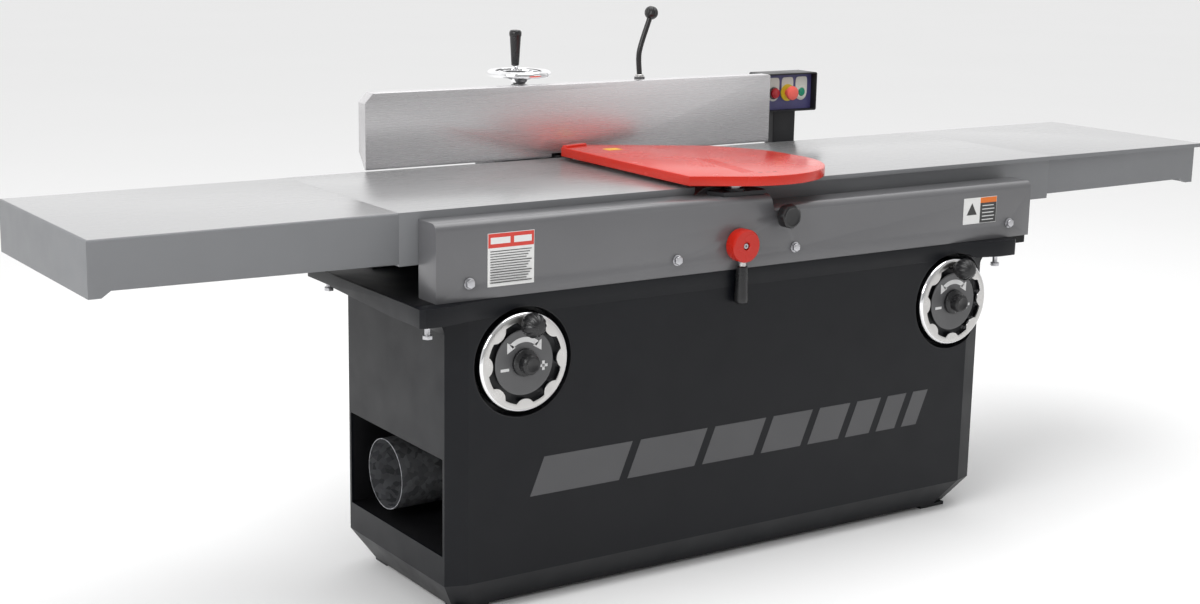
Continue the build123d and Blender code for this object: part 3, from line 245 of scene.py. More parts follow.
DEFAULTS = {
    "cabinet_paint": CHARCOAL, "bed_paint": BED_BLACK, "beam_paint": BEAM_GREY,
    "casting_paint": TABLE_PAINT, "guard_paint": GUARD_RED, "lock_paint": LOCK_RED,
    "fence_iron": FENCE_FACE, "fence_casting": CASTING, "ground_steel": STEEL,
    "machined_steel": STEEL, "zinc_bolts": ZINC, "chrome": CHROME, "carbide": CARBIDE,
    "dial_face": DIAL_GREY, "black_plastic": BLACK, "black_parts": BLACK_COAT,
    "galvanised": SPANGLE, "sheet_paint": DARK_SHEET, "motor_paint": MOTOR_GREY,
    "belt_rubber": RUBBER, "panel_face": PANEL_BLUE, "stop_red": STOP_RED,
    "mushroom_red": MUSHROOM, "ring_yellow": YELLOW, "start_green": GREEN,
}
for name, node in nodes.items():
    node.data.materials.clear()
    node.data.materials.append(DEFAULTS[slots[name]])


# ---- ways of making ------------------------------------------------------------------------
SMOOTH_BELOW = math.radians(32)         # edges flatter than this are shaded smooth
FACING = {"front": (math.pi / 2, 0, 0), "up": (0, 0, 0), "down": (math.pi, 0, 0)}


def clear():
    bpy.ops.object.select_all(action="DESELECT")


def fixed():
    """Puts the selected pieces' place, turn and size into their meshes."""
    bpy.ops.object.transform_apply(location=True, rotation=True, scale=True)


def settle(piece, body, slot, material=None, *replaced):
    """Fixes the piece's place, gives it a finish and a body."""
    bpy.context.view_layer.objects.active = piece
    piece.select_set(True)
    fixed()
    if material:
        piece.data.materials.clear()
        piece.data.materials.append(material)
    bpy.ops.object.shade_smooth_by_angle(angle=SMOOTH_BELOW)
    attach(piece, body)
    if replaced:
        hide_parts(*replaced)
    clear()
    return piece


def started(name):
    piece = bpy.context.object
    piece.name = name
    piece.data.name = name
    return piece


def edit(piece, kind="FACE", keep=None):
    """Opens edit mode with what keep() accepts selected."""
    bpy.context.view_layer.objects.active = piece
    bpy.ops.object.mode_set(mode="EDIT")
    bpy.ops.mesh.select_mode(type=kind)
    bpy.ops.mesh.select_all(action="DESELECT")
    if keep is None:
        bpy.ops.mesh.select_all(action="SELECT")
        return
    bpy.ops.object.mode_set(mode="OBJECT")
    mesh = piece.data
    parts = {"VERT": mesh.vertices, "EDGE": mesh.edges, "FACE": mesh.polygons}[kind]
    for part in parts:
        part.select = bool(keep(part))
    bpy.ops.object.mode_set(mode="EDIT")


def done():
    bpy.ops.object.mode_set(mode="OBJECT")


def outward(piece):
    edit(piece)
    bpy.ops.mesh.remove_doubles(threshold=0.00001)
    bpy.ops.mesh.normals_make_consistent(inside=False)
    done()


def rounded(piece, width, segments=3, angle=30):
    """Rounds every sharp edge."""
    bpy.context.view_layer.objects.active = piece
    mod = piece.modifiers.new("round", "BEVEL")
    mod.width = width
    mod.segments = segments
    mod.limit_method = "ANGLE"
    mod.angle_limit = math.radians(angle)
    bpy.ops.object.modifier_apply(modifier=mod.name)


def bar(name, low, high, width=0.001, segments=2):
    """Rounded bar between two corners."""
    clear()
    centre = [(a + b) / 2 for a, b in zip(low, high)]
    bpy.ops.mesh.primitive_cube_add(size=1, location=centre)
    piece = started(name)
    piece.scale = [b - a for a, b in zip(low, high)]
    fixed()
    rounded(piece, width, segments)
    return piece


def draw_out(stations):
    """Extrudes what is selected through each (radius, distance) station in turn."""
    for (r0, h0), (r1, h1) in zip(stations, stations[1:]):
        bpy.ops.mesh.extrude_region_move(TRANSFORM_OT_translate={"value": (0, 0, h1 - h0)})
        bpy.ops.transform.resize(value=(r1 / r0, r1 / r0, 1))


def turned(name, stations, at, facing="front", sides=72):
    """Turned shape: (radius, distance) stations run outwards from at."""
    clear()
    bpy.ops.mesh.primitive_circle_add(vertices=sides, radius=stations[0][0], fill_type="NGON",
                                      location=(0, 0, stations[0][1]))
    piece = started(name)
    fixed()
    edit(piece)
    draw_out(stations)
    done()
    outward(piece)
    piece.rotation_euler = FACING[facing]
    piece.location = at
    fixed()
    return piece


def pull(piece, beyond, by):
    """Draws points further out than beyond towards the Z axis, by what by(radius, angle) gives."""
    for point in piece.data.vertices:
        radius = math.hypot(point.co.x, point.co.y)
        if radius > beyond:
            share = 1 - by(radius, math.atan2(point.co.y, point.co.x)) / radius
            point.co.x *= share
            point.co.y *= share


def joined(name, pieces):
    clear()
    for piece in pieces:
        piece.select_set(True)
    bpy.context.view_layer.objects.active = pieces[0]
    bpy.ops.object.join()
    return started(name)


def dressed(node, width, segments=3, angle=30, flat=1.0, lift=None):
    """Copy of a CAD node, its edges rounded; lift is (height, rise) for what lies above."""
    clear()
    piece = nodes[node].copy()
    piece.data = nodes[node].data.copy()
    for key in list(piece.keys()):
        del piece[key]
    piece.parent = None
    bpy.context.scene.collection.objects.link(piece)
    piece.select_set(True)
    bpy.context.view_layer.objects.active = piece
    piece = started(node + "_finished")
    edit(piece)
    bpy.ops.mesh.remove_doubles(threshold=0.00002)
    bpy.ops.mesh.dissolve_limited(angle_limit=math.radians(flat))
    done()
    if lift:
        edit(piece, "VERT", lambda point: point.co.z > lift[0])
        bpy.ops.transform.translate(value=(0, 0, lift[1]))
        done()
    rounded(piece, width, segments, angle)
    return piece


def body_of(node):
    return next(body for body, members in bodies.items() if node in members)


def refinish(piece, material, keep):
    """Second finish on the faces that keep() accepts."""
    piece.data.materials.append(material)
    last = len(piece.data.materials) - 1
    for face in piece.data.polygons:
        if keep(face):
            face.material_index = last


# ---- castings and sheet metal --------------------------------------------------------------
COLLAR_RISE = 0.0195                    # flange band above the flange plate
BACK_BOLT_RISE = 0.022                  # how much further in the back bolts are screwed
BOLT_HEAD_BELOW = 0.632                 # heads and shanks lie below this height


def middle(node):
    low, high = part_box(node)
    return (low + high) / 2


def tables():
    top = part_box("outfeed_table")[1].z
    for node, width in (("outfeed_table", 0.003), ("infeed_table", 0.0012),
                        ("infeed_extension", 0.0012), ("outfeed_extension", 0.003)):
        piece = dressed(node, width)
        settle(piece, body_of(node), slots[node], TABLE_PAINT, node)
        refinish(piece, TABLE_TOP,
                 lambda face: face.normal.z > 0.95 and face.center.z > top - 0.0005)


def fence():
    piece = dressed("fence_plate", 0.0012)
    settle(piece, body_of("fence_plate"), slots["fence_plate"], FENCE_FACE, "fence_plate")


def collar():
    """Cabinet flange drawn up round the bed plate as one deep band."""
    plate_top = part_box("cabinet_flange")[1].z
    piece = dressed("cabinet_flange", 0.0025, lift=(plate_top - 0.001, COLLAR_RISE))
    settle(piece, "machine_base", slots["cabinet_flange"], CHARCOAL, "cabinet_flange")


def levelling_bolts():
    """Bolts under the ears; the pair at the back is screwed further in."""
    piece = dressed("ear_bolts", 0.0006, 2)
    edit(piece, "VERT", lambda point: point.co.y > 0 and point.co.z < BOLT_HEAD_BELOW)
    bpy.ops.transform.translate(value=(0, 0, BACK_BOLT_RISE))
    done()
    settle(piece, "machine_base", slots["ear_bolts"], ZINC, "ear_bolts")


def sheet_metal():
    for node, width, material in (("control_hood", 0.0015, BLACK_COAT),
                                  ("control_post", 0.002, BLACK_COAT),
                                  ("belt_guard", 0.002, DARK_SHEET),
                                  ("service_panel", 0.0008, CHARCOAL),
                                  ("front_beam", 0.0018, BEAM_GREY)):
        piece = dressed(node, width)
        settle(piece, body_of(node), slots[node], material, node)


# Each outline below is a list of (radius, distance along the axis) stations, in metres.
# ---- handwheels ----------------------------------------------------------------------------
WHEEL_RIM = [(0.0870, -0.0270), (0.0870, 0.0055), (0.0880, 0.0075), (0.0900, 0.0080),
             (0.0960, 0.0080), (0.1000, 0.0072), (0.1036, 0.0045), (0.1056, 0.0000),
             (0.1064, -0.0060), (0.1064, -0.0160), (0.1054, -0.0230), (0.1020, -0.0275),
             (0.0960, -0.0290), (0.0900, -0.0285)]
WHEEL_WEB = [(0.0875, -0.0150), (0.0875, -0.0100), (0.086, -0.0092), (0.075, -0.0105),
             (0.071, -0.0092), (0.030, -0.0092), (0.024, -0.006)]
WHEEL_HUB = [(0.024, -0.045), (0.024, -0.012)]
DIAL_DISC = [(0.068, 0.0), (0.069, 0.001), (0.069, 0.0025), (0.068, 0.0032), (0.066, 0.0034),
             (0.064, 0.0030)]
HUB_KNOB = [(0.009, -0.001), (0.027, 0.001), (0.0292, 0.003), (0.0292, 0.010), (0.0275, 0.012),
            (0.0235, 0.0135), (0.0205, 0.0160), (0.0200, 0.0200), (0.0212, 0.0290),
            (0.0206, 0.0335), (0.0180, 0.0362), (0.0145, 0.0370), (0.0125, 0.0360),
            (0.0100, 0.0345)]
CRANK_NECK = [(0.011, 0.0), (0.010, 0.004), (0.0105, 0.020)]
CRANK_RADIUS = 0.0262
RIM_INSIDE = 0.0885                     # only points nearer the axis than this carry lobes
RIM_LOBES, LOBE_HALF_ANGLE, LOBE_HEIGHT = 8, 12.0, 0.0115
KNURLS, KNURL_DEPTH, KNURLED_BEYOND = 36, 0.0013, 0.0265
DIAL_STEP = 0.003                       # rim's datum in front of the dial disc
ARROW_RADIUS, ARROW_INSIDE = 0.053, 0.80
ARROW_FROM, ARROW_TO = math.radians(48), math.radians(132)
SIGN_LONG, SIGN_WIDE, SIGN_OUT, SIGN_DOWN = 0.020, 0.006, 0.046, 0.012


def lobe(angle):
    """0 to 1 along the inner edge of a rim, with eight round lobes."""
    pitch = 360 / RIM_LOBES
    away = (math.degrees(angle) + pitch / 2) % pitch - pitch / 2
    return math.sqrt(max(0.0, 1 - (away / LOBE_HALF_ANGLE) ** 2))


def wheel_rim(side, centre):
    clear()
    radius, height = WHEEL_RIM[0]
    bpy.ops.mesh.primitive_circle_add(vertices=192, radius=radius, fill_type="NOTHING",
                                      location=(0, 0, height))
    rim = started(side + "_wheel_rim")
    fixed()
    edit(rim, "EDGE")
    draw_out(WHEEL_RIM)
    bpy.ops.mesh.select_all(action="DESELECT")
    bpy.ops.mesh.select_non_manifold()
    bpy.ops.mesh.bridge_edge_loops()
    done()
    pull(rim, 0, lambda radius, angle: LOBE_HEIGHT * lobe(angle) if radius < RIM_INSIDE else 0)
    outward(rim)
    rim.rotation_euler = FACING["front"]
    rim.location = centre
    settle(rim, side + "_wheel", "chrome", CHROME, side + "_handwheel")
    refinish(rim, SATIN, lambda face: face.normal.y < -0.9)


def hub_knob(side, centre):
    """Lock knob on the hub, with a knurled foot."""
    knob = turned(side + "_hub_knob", HUB_KNOB, (0, 0, 0), "up", 144)
    pull(knob, KNURLED_BEYOND,
         lambda radius, angle: KNURL_DEPTH * (1 - math.cos(KNURLS * angle)) / 2)
    knob.rotation_euler = FACING["front"]
    knob.location = centre
    settle(knob, side + "_lock", "black_plastic", BLACK, side + "_lock_knob")


def crank_knob(side, x):
    """Fluted ball that turns on the rim."""
    low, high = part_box(side + "_rim_knob")
    z = (low.z + high.z) / 2
    ball = fluted_ball(side + "_crank_ball", CRANK_RADIUS, 14, 0.0010)
    ball.rotation_euler = FACING["front"]
    ball.location = (x, low.y + 0.0182, z)
    fixed()
    neck = turned(side + "_crank_neck", CRANK_NECK, (x, high.y, z))
    knob = joined(side + "_crank_knob", [ball, neck])
    settle(knob, side + "_knob", "black_plastic", BLACK, side + "_rim_knob")


def handwheel(side):
    body = side + "_wheel"
    at = middle(side + "_dial")
    x, z = at.x, at.z
    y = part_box(side + "_dial")[0].y - DIAL_STEP
    wheel_rim(side, (x, y, z))
    # The web is the rim's own casting; its black coat is painted shade standing in for the shadow
    # inside the dished wheel.
    web = turned(side + "_wheel_web_painted_shade", WHEEL_WEB, (x, y, z))
    settle(web, body, "black_parts", BLACK_COAT)
    hub = turned(side + "_wheel_hub", WHEEL_HUB, (x, y, z))
    rounded(hub, 0.001)
    settle(hub, body, "machined_steel", STEEL)
    face = turned(side + "_dial_disc", DIAL_DISC, (x, y - 0.0002, z))
    settle(face, body, "dial_face", DIAL_GREY, side + "_dial")
    direction_marks(side, x, y - 0.0033, z, body)
    hub_knob(side, (x, y, z))
    crank_knob(side, x)


def fluted_ball(name, radius, flutes, depth):
    """Ball whose crown is cut by flutes round the Z axis, with a flattened tip."""
    clear()
    bpy.ops.mesh.primitive_uv_sphere_add(segments=flutes * 8, ring_count=32, radius=radius)
    ball = started(name)
    tip = radius * 0.93
    for point in ball.data.vertices:
        x, y, z = point.co
        share = math.hypot(x, y) / radius
        if share > 0.2 and z > -radius * 0.2:
            ripple = 1 - math.cos(flutes * math.atan2(y, x))
            grip = 1 - depth / radius * ripple * min(1.0, share * 1.4)
            point.co.x = x * grip
            point.co.y = y * grip
        if z > tip:
            point.co.z = tip + (z - tip) * 0.2
    return ball


def arrow_arc():
    clear()
    bpy.ops.mesh.primitive_circle_add(vertices=96, radius=ARROW_RADIUS, fill_type="NOTHING")
    arc = started("arc")
    edit(arc, "VERT", lambda v: not (ARROW_FROM < math.atan2(v.co.y, v.co.x) < ARROW_TO))
    bpy.ops.mesh.delete(type="VERT")
    bpy.ops.mesh.select_mode(type="EDGE")
    bpy.ops.mesh.select_all(action="SELECT")
    bpy.ops.mesh.extrude_region_move()
    bpy.ops.transform.resize(value=(ARROW_INSIDE, ARROW_INSIDE, 1), center_override=(0, 0, 0))
    done()
    return arc


def arrow_head(way):
    clear()
    bpy.ops.mesh.primitive_circle_add(vertices=3, radius=0.0135, fill_type="NGON")
    head = started("head")
    angle = math.radians(90 - way * 46)
    head.rotation_euler = (0, 0, angle - way * math.pi / 2 - way * 0.25 - math.pi / 2)
    head.location = (0.0475 * math.cos(angle), 0.0475 * math.sin(angle), 0)
    fixed()
    return head


def stroke(x, y, wide, high):
    clear()
    bpy.ops.mesh.primitive_plane_add(size=1, location=(x, y, 0))
    sign = started("sign")
    sign.scale = (wide, high, 1)
    fixed()
    return sign


def direction_marks(side, x, y, z, body):
    """Double-ended arrow with a minus sign on the left and a plus sign on the right."""
    marks = [arrow_arc(), arrow_head(-1), arrow_head(1)]
    marks.append(stroke(-SIGN_OUT, -SIGN_DOWN, SIGN_LONG, SIGN_WIDE))
    marks.append(stroke(SIGN_OUT, -SIGN_DOWN, SIGN_LONG, SIGN_WIDE))
    marks.append(stroke(SIGN_OUT, -SIGN_DOWN, SIGN_WIDE, SIGN_LONG))
    piece = joined(side + "_direction_marks", marks)
    mod = piece.modifiers.new("thick", "SOLIDIFY")
    mod.thickness = 0.0004
    mod.offset = 1
    bpy.ops.object.modifier_apply(modifier=mod.name)
    piece.rotation_euler = FACING["front"]
    piece.location = (x, y, z)
    settle(piece, body, "dial_face", DIAL_MARK)


# ---- beam controls -------------------------------------------------------------------------
LOCK_DISC = [(0.034, 0.0006), (0.0365, 0.003), (0.037, 0.006), (0.037, 0.025), (0.0362, 0.028),
             (0.0335, 0.030), (0.0095, 0.030), (0.0088, 0.029), (0.0088, 0.021)]
LOCK_SCREW = [(0.0062, 0.020), (0.0062, 0.0262), (0.0055, 0.027), (0.0028, 0.027),
              (0.0027, 0.0235)]
LOCK_FERRULE = [(0.0085, 0.034), (0.0085, 0.046), (0.0075, 0.0475)]
LOCK_HANDLE = [(0.0100, 0.0455), (0.0122, 0.047), (0.0130, 0.054), (0.0138, 0.090),
               (0.0148, 0.112), (0.0150, 0.120), (0.0140, 0.126), (0.0105, 0.129)]
CLAMP_KNOB = [(0.012, 0.001), (0.015, 0.006), (0.021, 0.013), (0.0262, 0.017), (0.0275, 0.020),
              (0.0275, 0.034), (0.0255, 0.039), (0.021, 0.0412), (0.018, 0.0395),
              (0.016, 0.0392)]
CLAMP_LOBES, CLAMP_LOBE_DEPTH, CLAMP_TURN = 7, 0.0018, 0.4
CLAMP_ROUND_WITHIN, CLAMP_FADE = 0.020, 0.005
WASHER = [(0.0112, 0.0002), (0.012, 0.0008), (0.012, 0.002), (0.0112, 0.0026)]
BOLT_HEAD = [(0.0102, 0.0024), (0.0104, 0.0034), (0.0104, 0.0080), (0.0088, 0.0096),
             (0.0045, 0.0100)]
BEAM_BOLT_X = (-0.692, -0.181, 0.143, 0.813)


def clamp_lobes(radius, angle):
    wave = (1 + math.cos(CLAMP_LOBES * angle + CLAMP_TURN)) / 2
    return CLAMP_LOBE_DEPTH * wave * min(1, (radius - CLAMP_ROUND_WITHIN) / CLAMP_FADE)


def beam_controls():
    """Red lock disc with its handle, and the lobed knob beside it."""
    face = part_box("front_beam")[0].y
    x = middle("lock_hub").x - 0.005
    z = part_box("lock_hub")[1].z - 0.037
    hub = turned("lock_hub_disc", LOCK_DISC, (x, face, z))
    settle(hub, "table_lock", "lock_paint", LOCK_RED, "lock_hub")
    screw = turned("lock_hub_screw", LOCK_SCREW, (x, face, z), sides=36)
    settle(screw, "table_lock", "zinc_bolts", ZINC)
    stem = (x, face - 0.015, z)
    ferrule = turned("lock_ferrule", LOCK_FERRULE, stem, "down", 40)
    settle(ferrule, "table_lock", "zinc_bolts", SATIN)
    grip = turned("lock_handle", LOCK_HANDLE, stem, "down", 48)
    settle(grip, "table_lock", "black_plastic", BLACK, "lock_grip")
    at = middle("clamp_knob")
    knob = turned("clamp_knob_head", CLAMP_KNOB, (0, 0, 0), "up", 140)
    pull(knob, CLAMP_ROUND_WITHIN, clamp_lobes)
    knob.rotation_euler = FACING["front"]
    knob.location = (at.x - 0.004, face, at.z)
    settle(knob, "clamp", "black_plastic", BLACK, "clamp_knob")


def beam_bolts():
    """Domed hexagon heads on round washers."""
    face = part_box("front_beam")[0].y
    z = middle("beam_bolts").z
    for k, x in enumerate(BEAM_BOLT_X):
        washer = turned("beam_washer_%d" % k, WASHER, (x, face, z), sides=48)
        head = turned("beam_bolt_%d" % k, BOLT_HEAD, (x, face, z), sides=6)
        rounded(head, 0.0007, 2, 20)
        piece = joined("beam_bolt_set_%d" % k, [washer, head])
        settle(piece, "machine_base", "zinc_bolts", ZINC, *(["beam_bolts"] if k == 0 else []))


# ---- guard ---------------------------------------------------------------------------------
LIP_HALF_LENGTH, LIP_HALF_WIDTH, LIP_RISE = 0.036, 0.008, 0.0045
LIP_AT, LIP_TURN = (-0.070, 0.349), math.radians(16)
STICKER_X, STICKER_Y = (-0.040, -0.002), (0.244, 0.274)
BEAD_LINES = (((0.165, 0.190), (-0.004, -0.078)), ((0.062, 0.022), (0.022, -0.190)))
BEADS, BEAD_PITCH, BEAD_HALF_WIDTH = 4, 0.0085, 0.0009
SLOTS = ((0.058, -0.205), (0.076, -0.2085), (0.094, -0.2105))
SLOT_HALF_LENGTH, SLOT_HALF_WIDTH = 0.0055, 0.0014
PIN_CAP = [(0.0055, 0.0), (0.0055, 0.009), (0.0045, 0.0105), (0.002, 0.011)]
PIN_AT = (-0.012, -0.199)


def guard_beads(top):
    """Two groups of fine parallel ridges in the casting."""
    for group, (start, end) in enumerate(BEAD_LINES):
        start, end = Vector(start), Vector(end)
        way = (end - start).normalized()
        across = Vector((-way.y, way.x))
        half = (end - start).length / 2
        for k in range(BEADS):
            centre = (start + end) / 2 + across * BEAD_PITCH * k
            bead = bar("guard_bead_%d_%d" % (group, k), (-half, -BEAD_HALF_WIDTH, 0),
                       (half, BEAD_HALF_WIDTH, 0.0011), 0.0004, 2)
            bead.rotation_euler = (0, 0, math.atan2(way.y, way.x))
            bead.location = (centre.x, centre.y, top - 0.0005)
            settle(bead, "guard", "guard_paint", GUARD_RED)


def guard():
    piece = dressed("guard_plate", 0.0032, 4, 40, 0.5)
    settle(piece, "guard", "guard_paint", GUARD_RED, "guard_plate")
    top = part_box("guard_plate")[1].z
    lip = bar("guard_lip", (-LIP_HALF_LENGTH, -LIP_HALF_WIDTH, -0.002),
              (LIP_HALF_LENGTH, LIP_HALF_WIDTH, LIP_RISE), 0.002, 3)
    lip.rotation_euler = (0, 0, LIP_TURN)
    lip.location = (*LIP_AT, top)
    settle(lip, "guard", "guard_paint", GUARD_RED)
    sticker = bar("guard_sticker", (STICKER_X[0], STICKER_Y[0], top - 0.0001),
                  (STICKER_X[1], STICKER_Y[1], top + 0.0004), 0.0001, 1)
    settle(sticker, "guard", "guard_paint", STICKER)
    guard_beads(top)
    # The slots are not cut: black bars on the guard's top are painted shade standing in for the
    # dark inside of each opening.
    for k, (x, y) in enumerate(SLOTS):
        slot = bar("guard_slot_%d" % k, (x - SLOT_HALF_LENGTH, y - SLOT_HALF_WIDTH, top - 0.002),
                   (x + SLOT_HALF_LENGTH, y + SLOT_HALF_WIDTH, top + 0.0002), 0.0003, 1)
        settle(slot, "guard", "guard_paint", LABEL_BLACK)
    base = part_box("guard_bracket")[1].z - 0.004
    post = turned("guard_pin_cap", PIN_CAP, (*PIN_AT, base), "up", 32)
    settle(post, "machine_base", "zinc_bolts", ZINC)


# ---- labels --------------------------------------------------------------------------------
def label(name, x0, x1, z0, z1, y, bands, material=LABEL_WHITE, body="machine_base"):
    """Thin plate with coloured bands; a band is (left, right, bottom, top, finish)."""
    plate = bar(name, (x0, y - 0.0006, z0), (x1, y, z1), 0.0002, 1)
    settle(plate, body, "beam_paint", material)
    for k, (left, right, bottom, top, paint) in enumerate(bands):
        front = y - 0.0008 - 0.0001 * k
        band = bar("%s_band_%d" % (name, k), (left, front, bottom), (right, y - 0.0005, top),
                   0.00004, 1)
        settle(band, body, "beam_paint", paint)


def notice_plate(face):
    """Red heading with two blank boxes over thirteen plain lines."""
    x0, x1, z0, z1 = -0.650, -0.541, 0.696, 0.805
    wide = x1 - x0
    bands = [(x0 + 0.001, x1 - 0.001, z1 - 0.030, z1 - 0.001, LABEL_RED)]
    for a, b in ((0.06, 0.48), (0.56, 0.94)):
        bands.append((x0 + wide * a, x0 + wide * b, z1 - 0.022, z1 - 0.009, LABEL_WHITE))
    for row in range(13):
        reach = 0.94 - 0.11 * ((row * 5) % 4) / 3
        low = z1 - 0.038 - row * 0.0053
        tone = LABEL_BLACK if row % 4 == 0 else DIAL_GREY
        bands.append((x0 + 0.006, x0 + wide * reach, low, low + 0.0016, tone))
    label("notice_plate", x0, x1, z0, z1, face, bands)


def caution_plate(face):
    """Black triangle beside an orange heading and five plain lines on black."""
    x0, x1, z0, z1 = 0.659, 0.768, 0.715, 0.778
    half = (x0 + x1) / 2
    bands = [(half, x1 - 0.001, z1 - 0.014, z1 - 0.001, LABEL_ORANGE),
             (half, x1 - 0.001, z0 + 0.001, z1 - 0.014, LABEL_BLACK)]
    for row in range(5):
        low = z1 - 0.022 - row * 0.0085
        bands.append((half + 0.007, x1 - 0.010 + 0.003 * (row % 2), low, low + 0.0022, DIAL_MARK))
    label("caution_plate", x0, x1, z0, z1, face, bands)
    sign = turned("caution_sign", [(0.019, 0.0005), (0.019, 0.0010)],
                  ((x0 + half) / 2, face, (z0 + z1) / 2), sides=3)
    settle(sign, "machine_base", "beam_paint", LABEL_BLACK)


STRIPE_LEFT, STRIPE_BOTTOM, STRIPE_TOP = -0.545, 0.240, 0.322
STRIPE_BARS, STRIPE_FIRST, STRIPE_SHRINK = 8, 0.224, 0.80
STRIPE_GAP, STRIPE_SLANT = 0.022, 0.034


def cabinet_stripe():
    """Row of slanted bars across the cabinet front, each shorter than the last."""
    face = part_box("cabinet_shell")[0].y
    start, width = STRIPE_LEFT, STRIPE_FIRST
    half_way = (STRIPE_BOTTOM + STRIPE_TOP) / 2
    for k in range(STRIPE_BARS):
        piece = bar("stripe_%d" % k, (start, face - 0.0006, STRIPE_BOTTOM),
                    (start + width, face + 0.0002, STRIPE_TOP), 0.0001, 1)
        edit(piece, "VERT", lambda point: point.co.z > half_way)
        bpy.ops.transform.translate(value=(STRIPE_SLANT, 0, 0))
        done()
        settle(piece, "machine_base", "cabinet_paint", STRIPE)
        start += width + STRIPE_GAP
        width *= STRIPE_SHRINK


# ---- fence controls ------------------------------------------------------------------------
CRANK_HUB = [(0.0145, -0.0255), (0.0165, -0.0240), (0.0210, -0.0185), (0.0240, -0.0120),
             (0.0245, -0.0080), (0.021, -0.0055), (0.012, -0.0045)]
CRANK_STEM = [(0.0078, -0.130), (0.0078, -0.024)]
CRANK_FERRULE = [(0.0085, 0.000), (0.0085, 0.0105), (0.0075, 0.012)]
CRANK_HANDLE = [(0.0085, 0.0127), (0.0095, 0.0145), (0.0098, 0.020), (0.0135, 0.082),
                (0.0148, 0.085), (0.0152, 0.090), (0.0148, 0.094), (0.0120, 0.0978),
                (0.006, 0.099)]
LEVER_SLEEVE = [(0.0105, 0.0), (0.0105, 0.011), (0.009, 0.0125)]
CRANK_RIM_RADIUS, CRANK_WIRE = 0.0692, 0.0074
CRANK_SPOKES, GRIP_ANGLE, GRIP_REACH, SPOKE_REACH = 5, 68, 0.060, 0.042
SPOKE_SIZE, SPOKE_DROP = (0.052, 0.015, 0.007), 0.013
LEVER_AT, LEVER_ROD, LEVER_BALL = (0.183, 0.445), 0.0067, 0.017


def crank_spoke(x, y, z, angle):
    clear()
    bpy.ops.mesh.primitive_cube_add(size=1)
    spoke = started("spoke")
    spoke.scale = SPOKE_SIZE
    fixed()
    edit(spoke, "VERT", lambda v: v.co.x < 0)
    bpy.ops.transform.translate(value=(0, 0, -SPOKE_DROP))
    done()
    rounded(spoke, 0.0025, 3)
    spoke.rotation_euler = (0, 0, angle)
    spoke.location = (x + SPOKE_REACH * math.cos(angle), y + SPOKE_REACH * math.sin(angle), z)
    fixed()
    return spoke


def tilt_crank():
    """Five-spoked chrome wheel on its stem, with a black handle on the rim."""
    at = middle("tilt_wheel")
    x, y = at.x, at.y
    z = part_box("tilt_wheel_grip")[0].z - 0.0125
    clear()
    bpy.ops.mesh.primitive_torus_add(major_segments=96, minor_segments=24,
                                     major_radius=CRANK_RIM_RADIUS, minor_radius=CRANK_WIRE,
                                     location=(x, y, z))
    parts = [started("fence_wheel_rim")]
    for k in range(CRANK_SPOKES):
        share = 360 / CRANK_SPOKES
        parts.append(crank_spoke(x, y, z, math.radians(GRIP_ANGLE + share / 2 + share * k)))
    parts.append(turned("hub", CRANK_HUB, (x, y, z), "up"))
    parts.append(turned("stem", CRANK_STEM, (x, y, z), "up", 40))
    angle = math.radians(GRIP_ANGLE)
    pin = (x + GRIP_REACH * math.cos(angle), y + GRIP_REACH * math.sin(angle), z)
    parts.append(turned("ferrule", CRANK_FERRULE, pin, "up", 40))
    settle(joined("fence_wheel_chrome", parts), "tilt_crank", "chrome", CHROME, "tilt_wheel")
    grip = turned("fence_wheel_handle", CRANK_HANDLE, pin, "up", 56)
    settle(grip, "crank_grip", "black_plastic", BLACK, "tilt_wheel_grip")


def lever_rod(stops):
    """Bent rod through its stops; each stop is (place, half its tangent)."""
    clear()
    bpy.ops.curve.primitive_bezier_curve_add(location=(0, 0, 0))
    rod = started("fence_lever_rod")
    points = rod.data.splines[0].bezier_points
    points.add(len(stops) - len(points))
    for point, (place, reach) in zip(points, stops):
        point.co = place
        point.handle_left = place - Vector(reach)
        point.handle_right = place + Vector(reach)
    rod.data.bevel_depth = LEVER_ROD
    rod.data.bevel_resolution = 6
    rod.data.use_fill_caps = True
    bpy.ops.object.convert(target="MESH")
    return started("fence_lever_rod")


def fence_lever():
    """Cranked lever with a fluted ball, standing in a sleeve."""
    low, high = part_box("fence_lever")
    foot = Vector((*LEVER_AT, low.z + 0.012))
    knee = foot + Vector((-0.003, 0, 0.062))
    head = Vector((high.x - LEVER_BALL, foot.y - 0.004, high.z - LEVER_BALL))
    rod = lever_rod([(foot, (0, 0, 0.02)), (knee, (0.002, 0, 0.022)), (head, (0.010, 0, 0.03))])
    ball = fluted_ball("fence_lever_ball", LEVER_BALL, 12, 0.0007)
    ball.rotation_euler = (0, 0.25, 0)
    ball.location = head
    fixed()
    piece = joined("fence_lever_arm", [rod, ball])
    settle(piece, "fence_lock", "black_parts", BLACK, "fence_lever")
    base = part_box("fence_bracket")[1].z - 0.006
    sleeve = turned("lever_sleeve", LEVER_SLEEVE, (foot.x, foot.y, base), "up", 40)
    settle(sleeve, "fence", "zinc_bolts", SATIN)


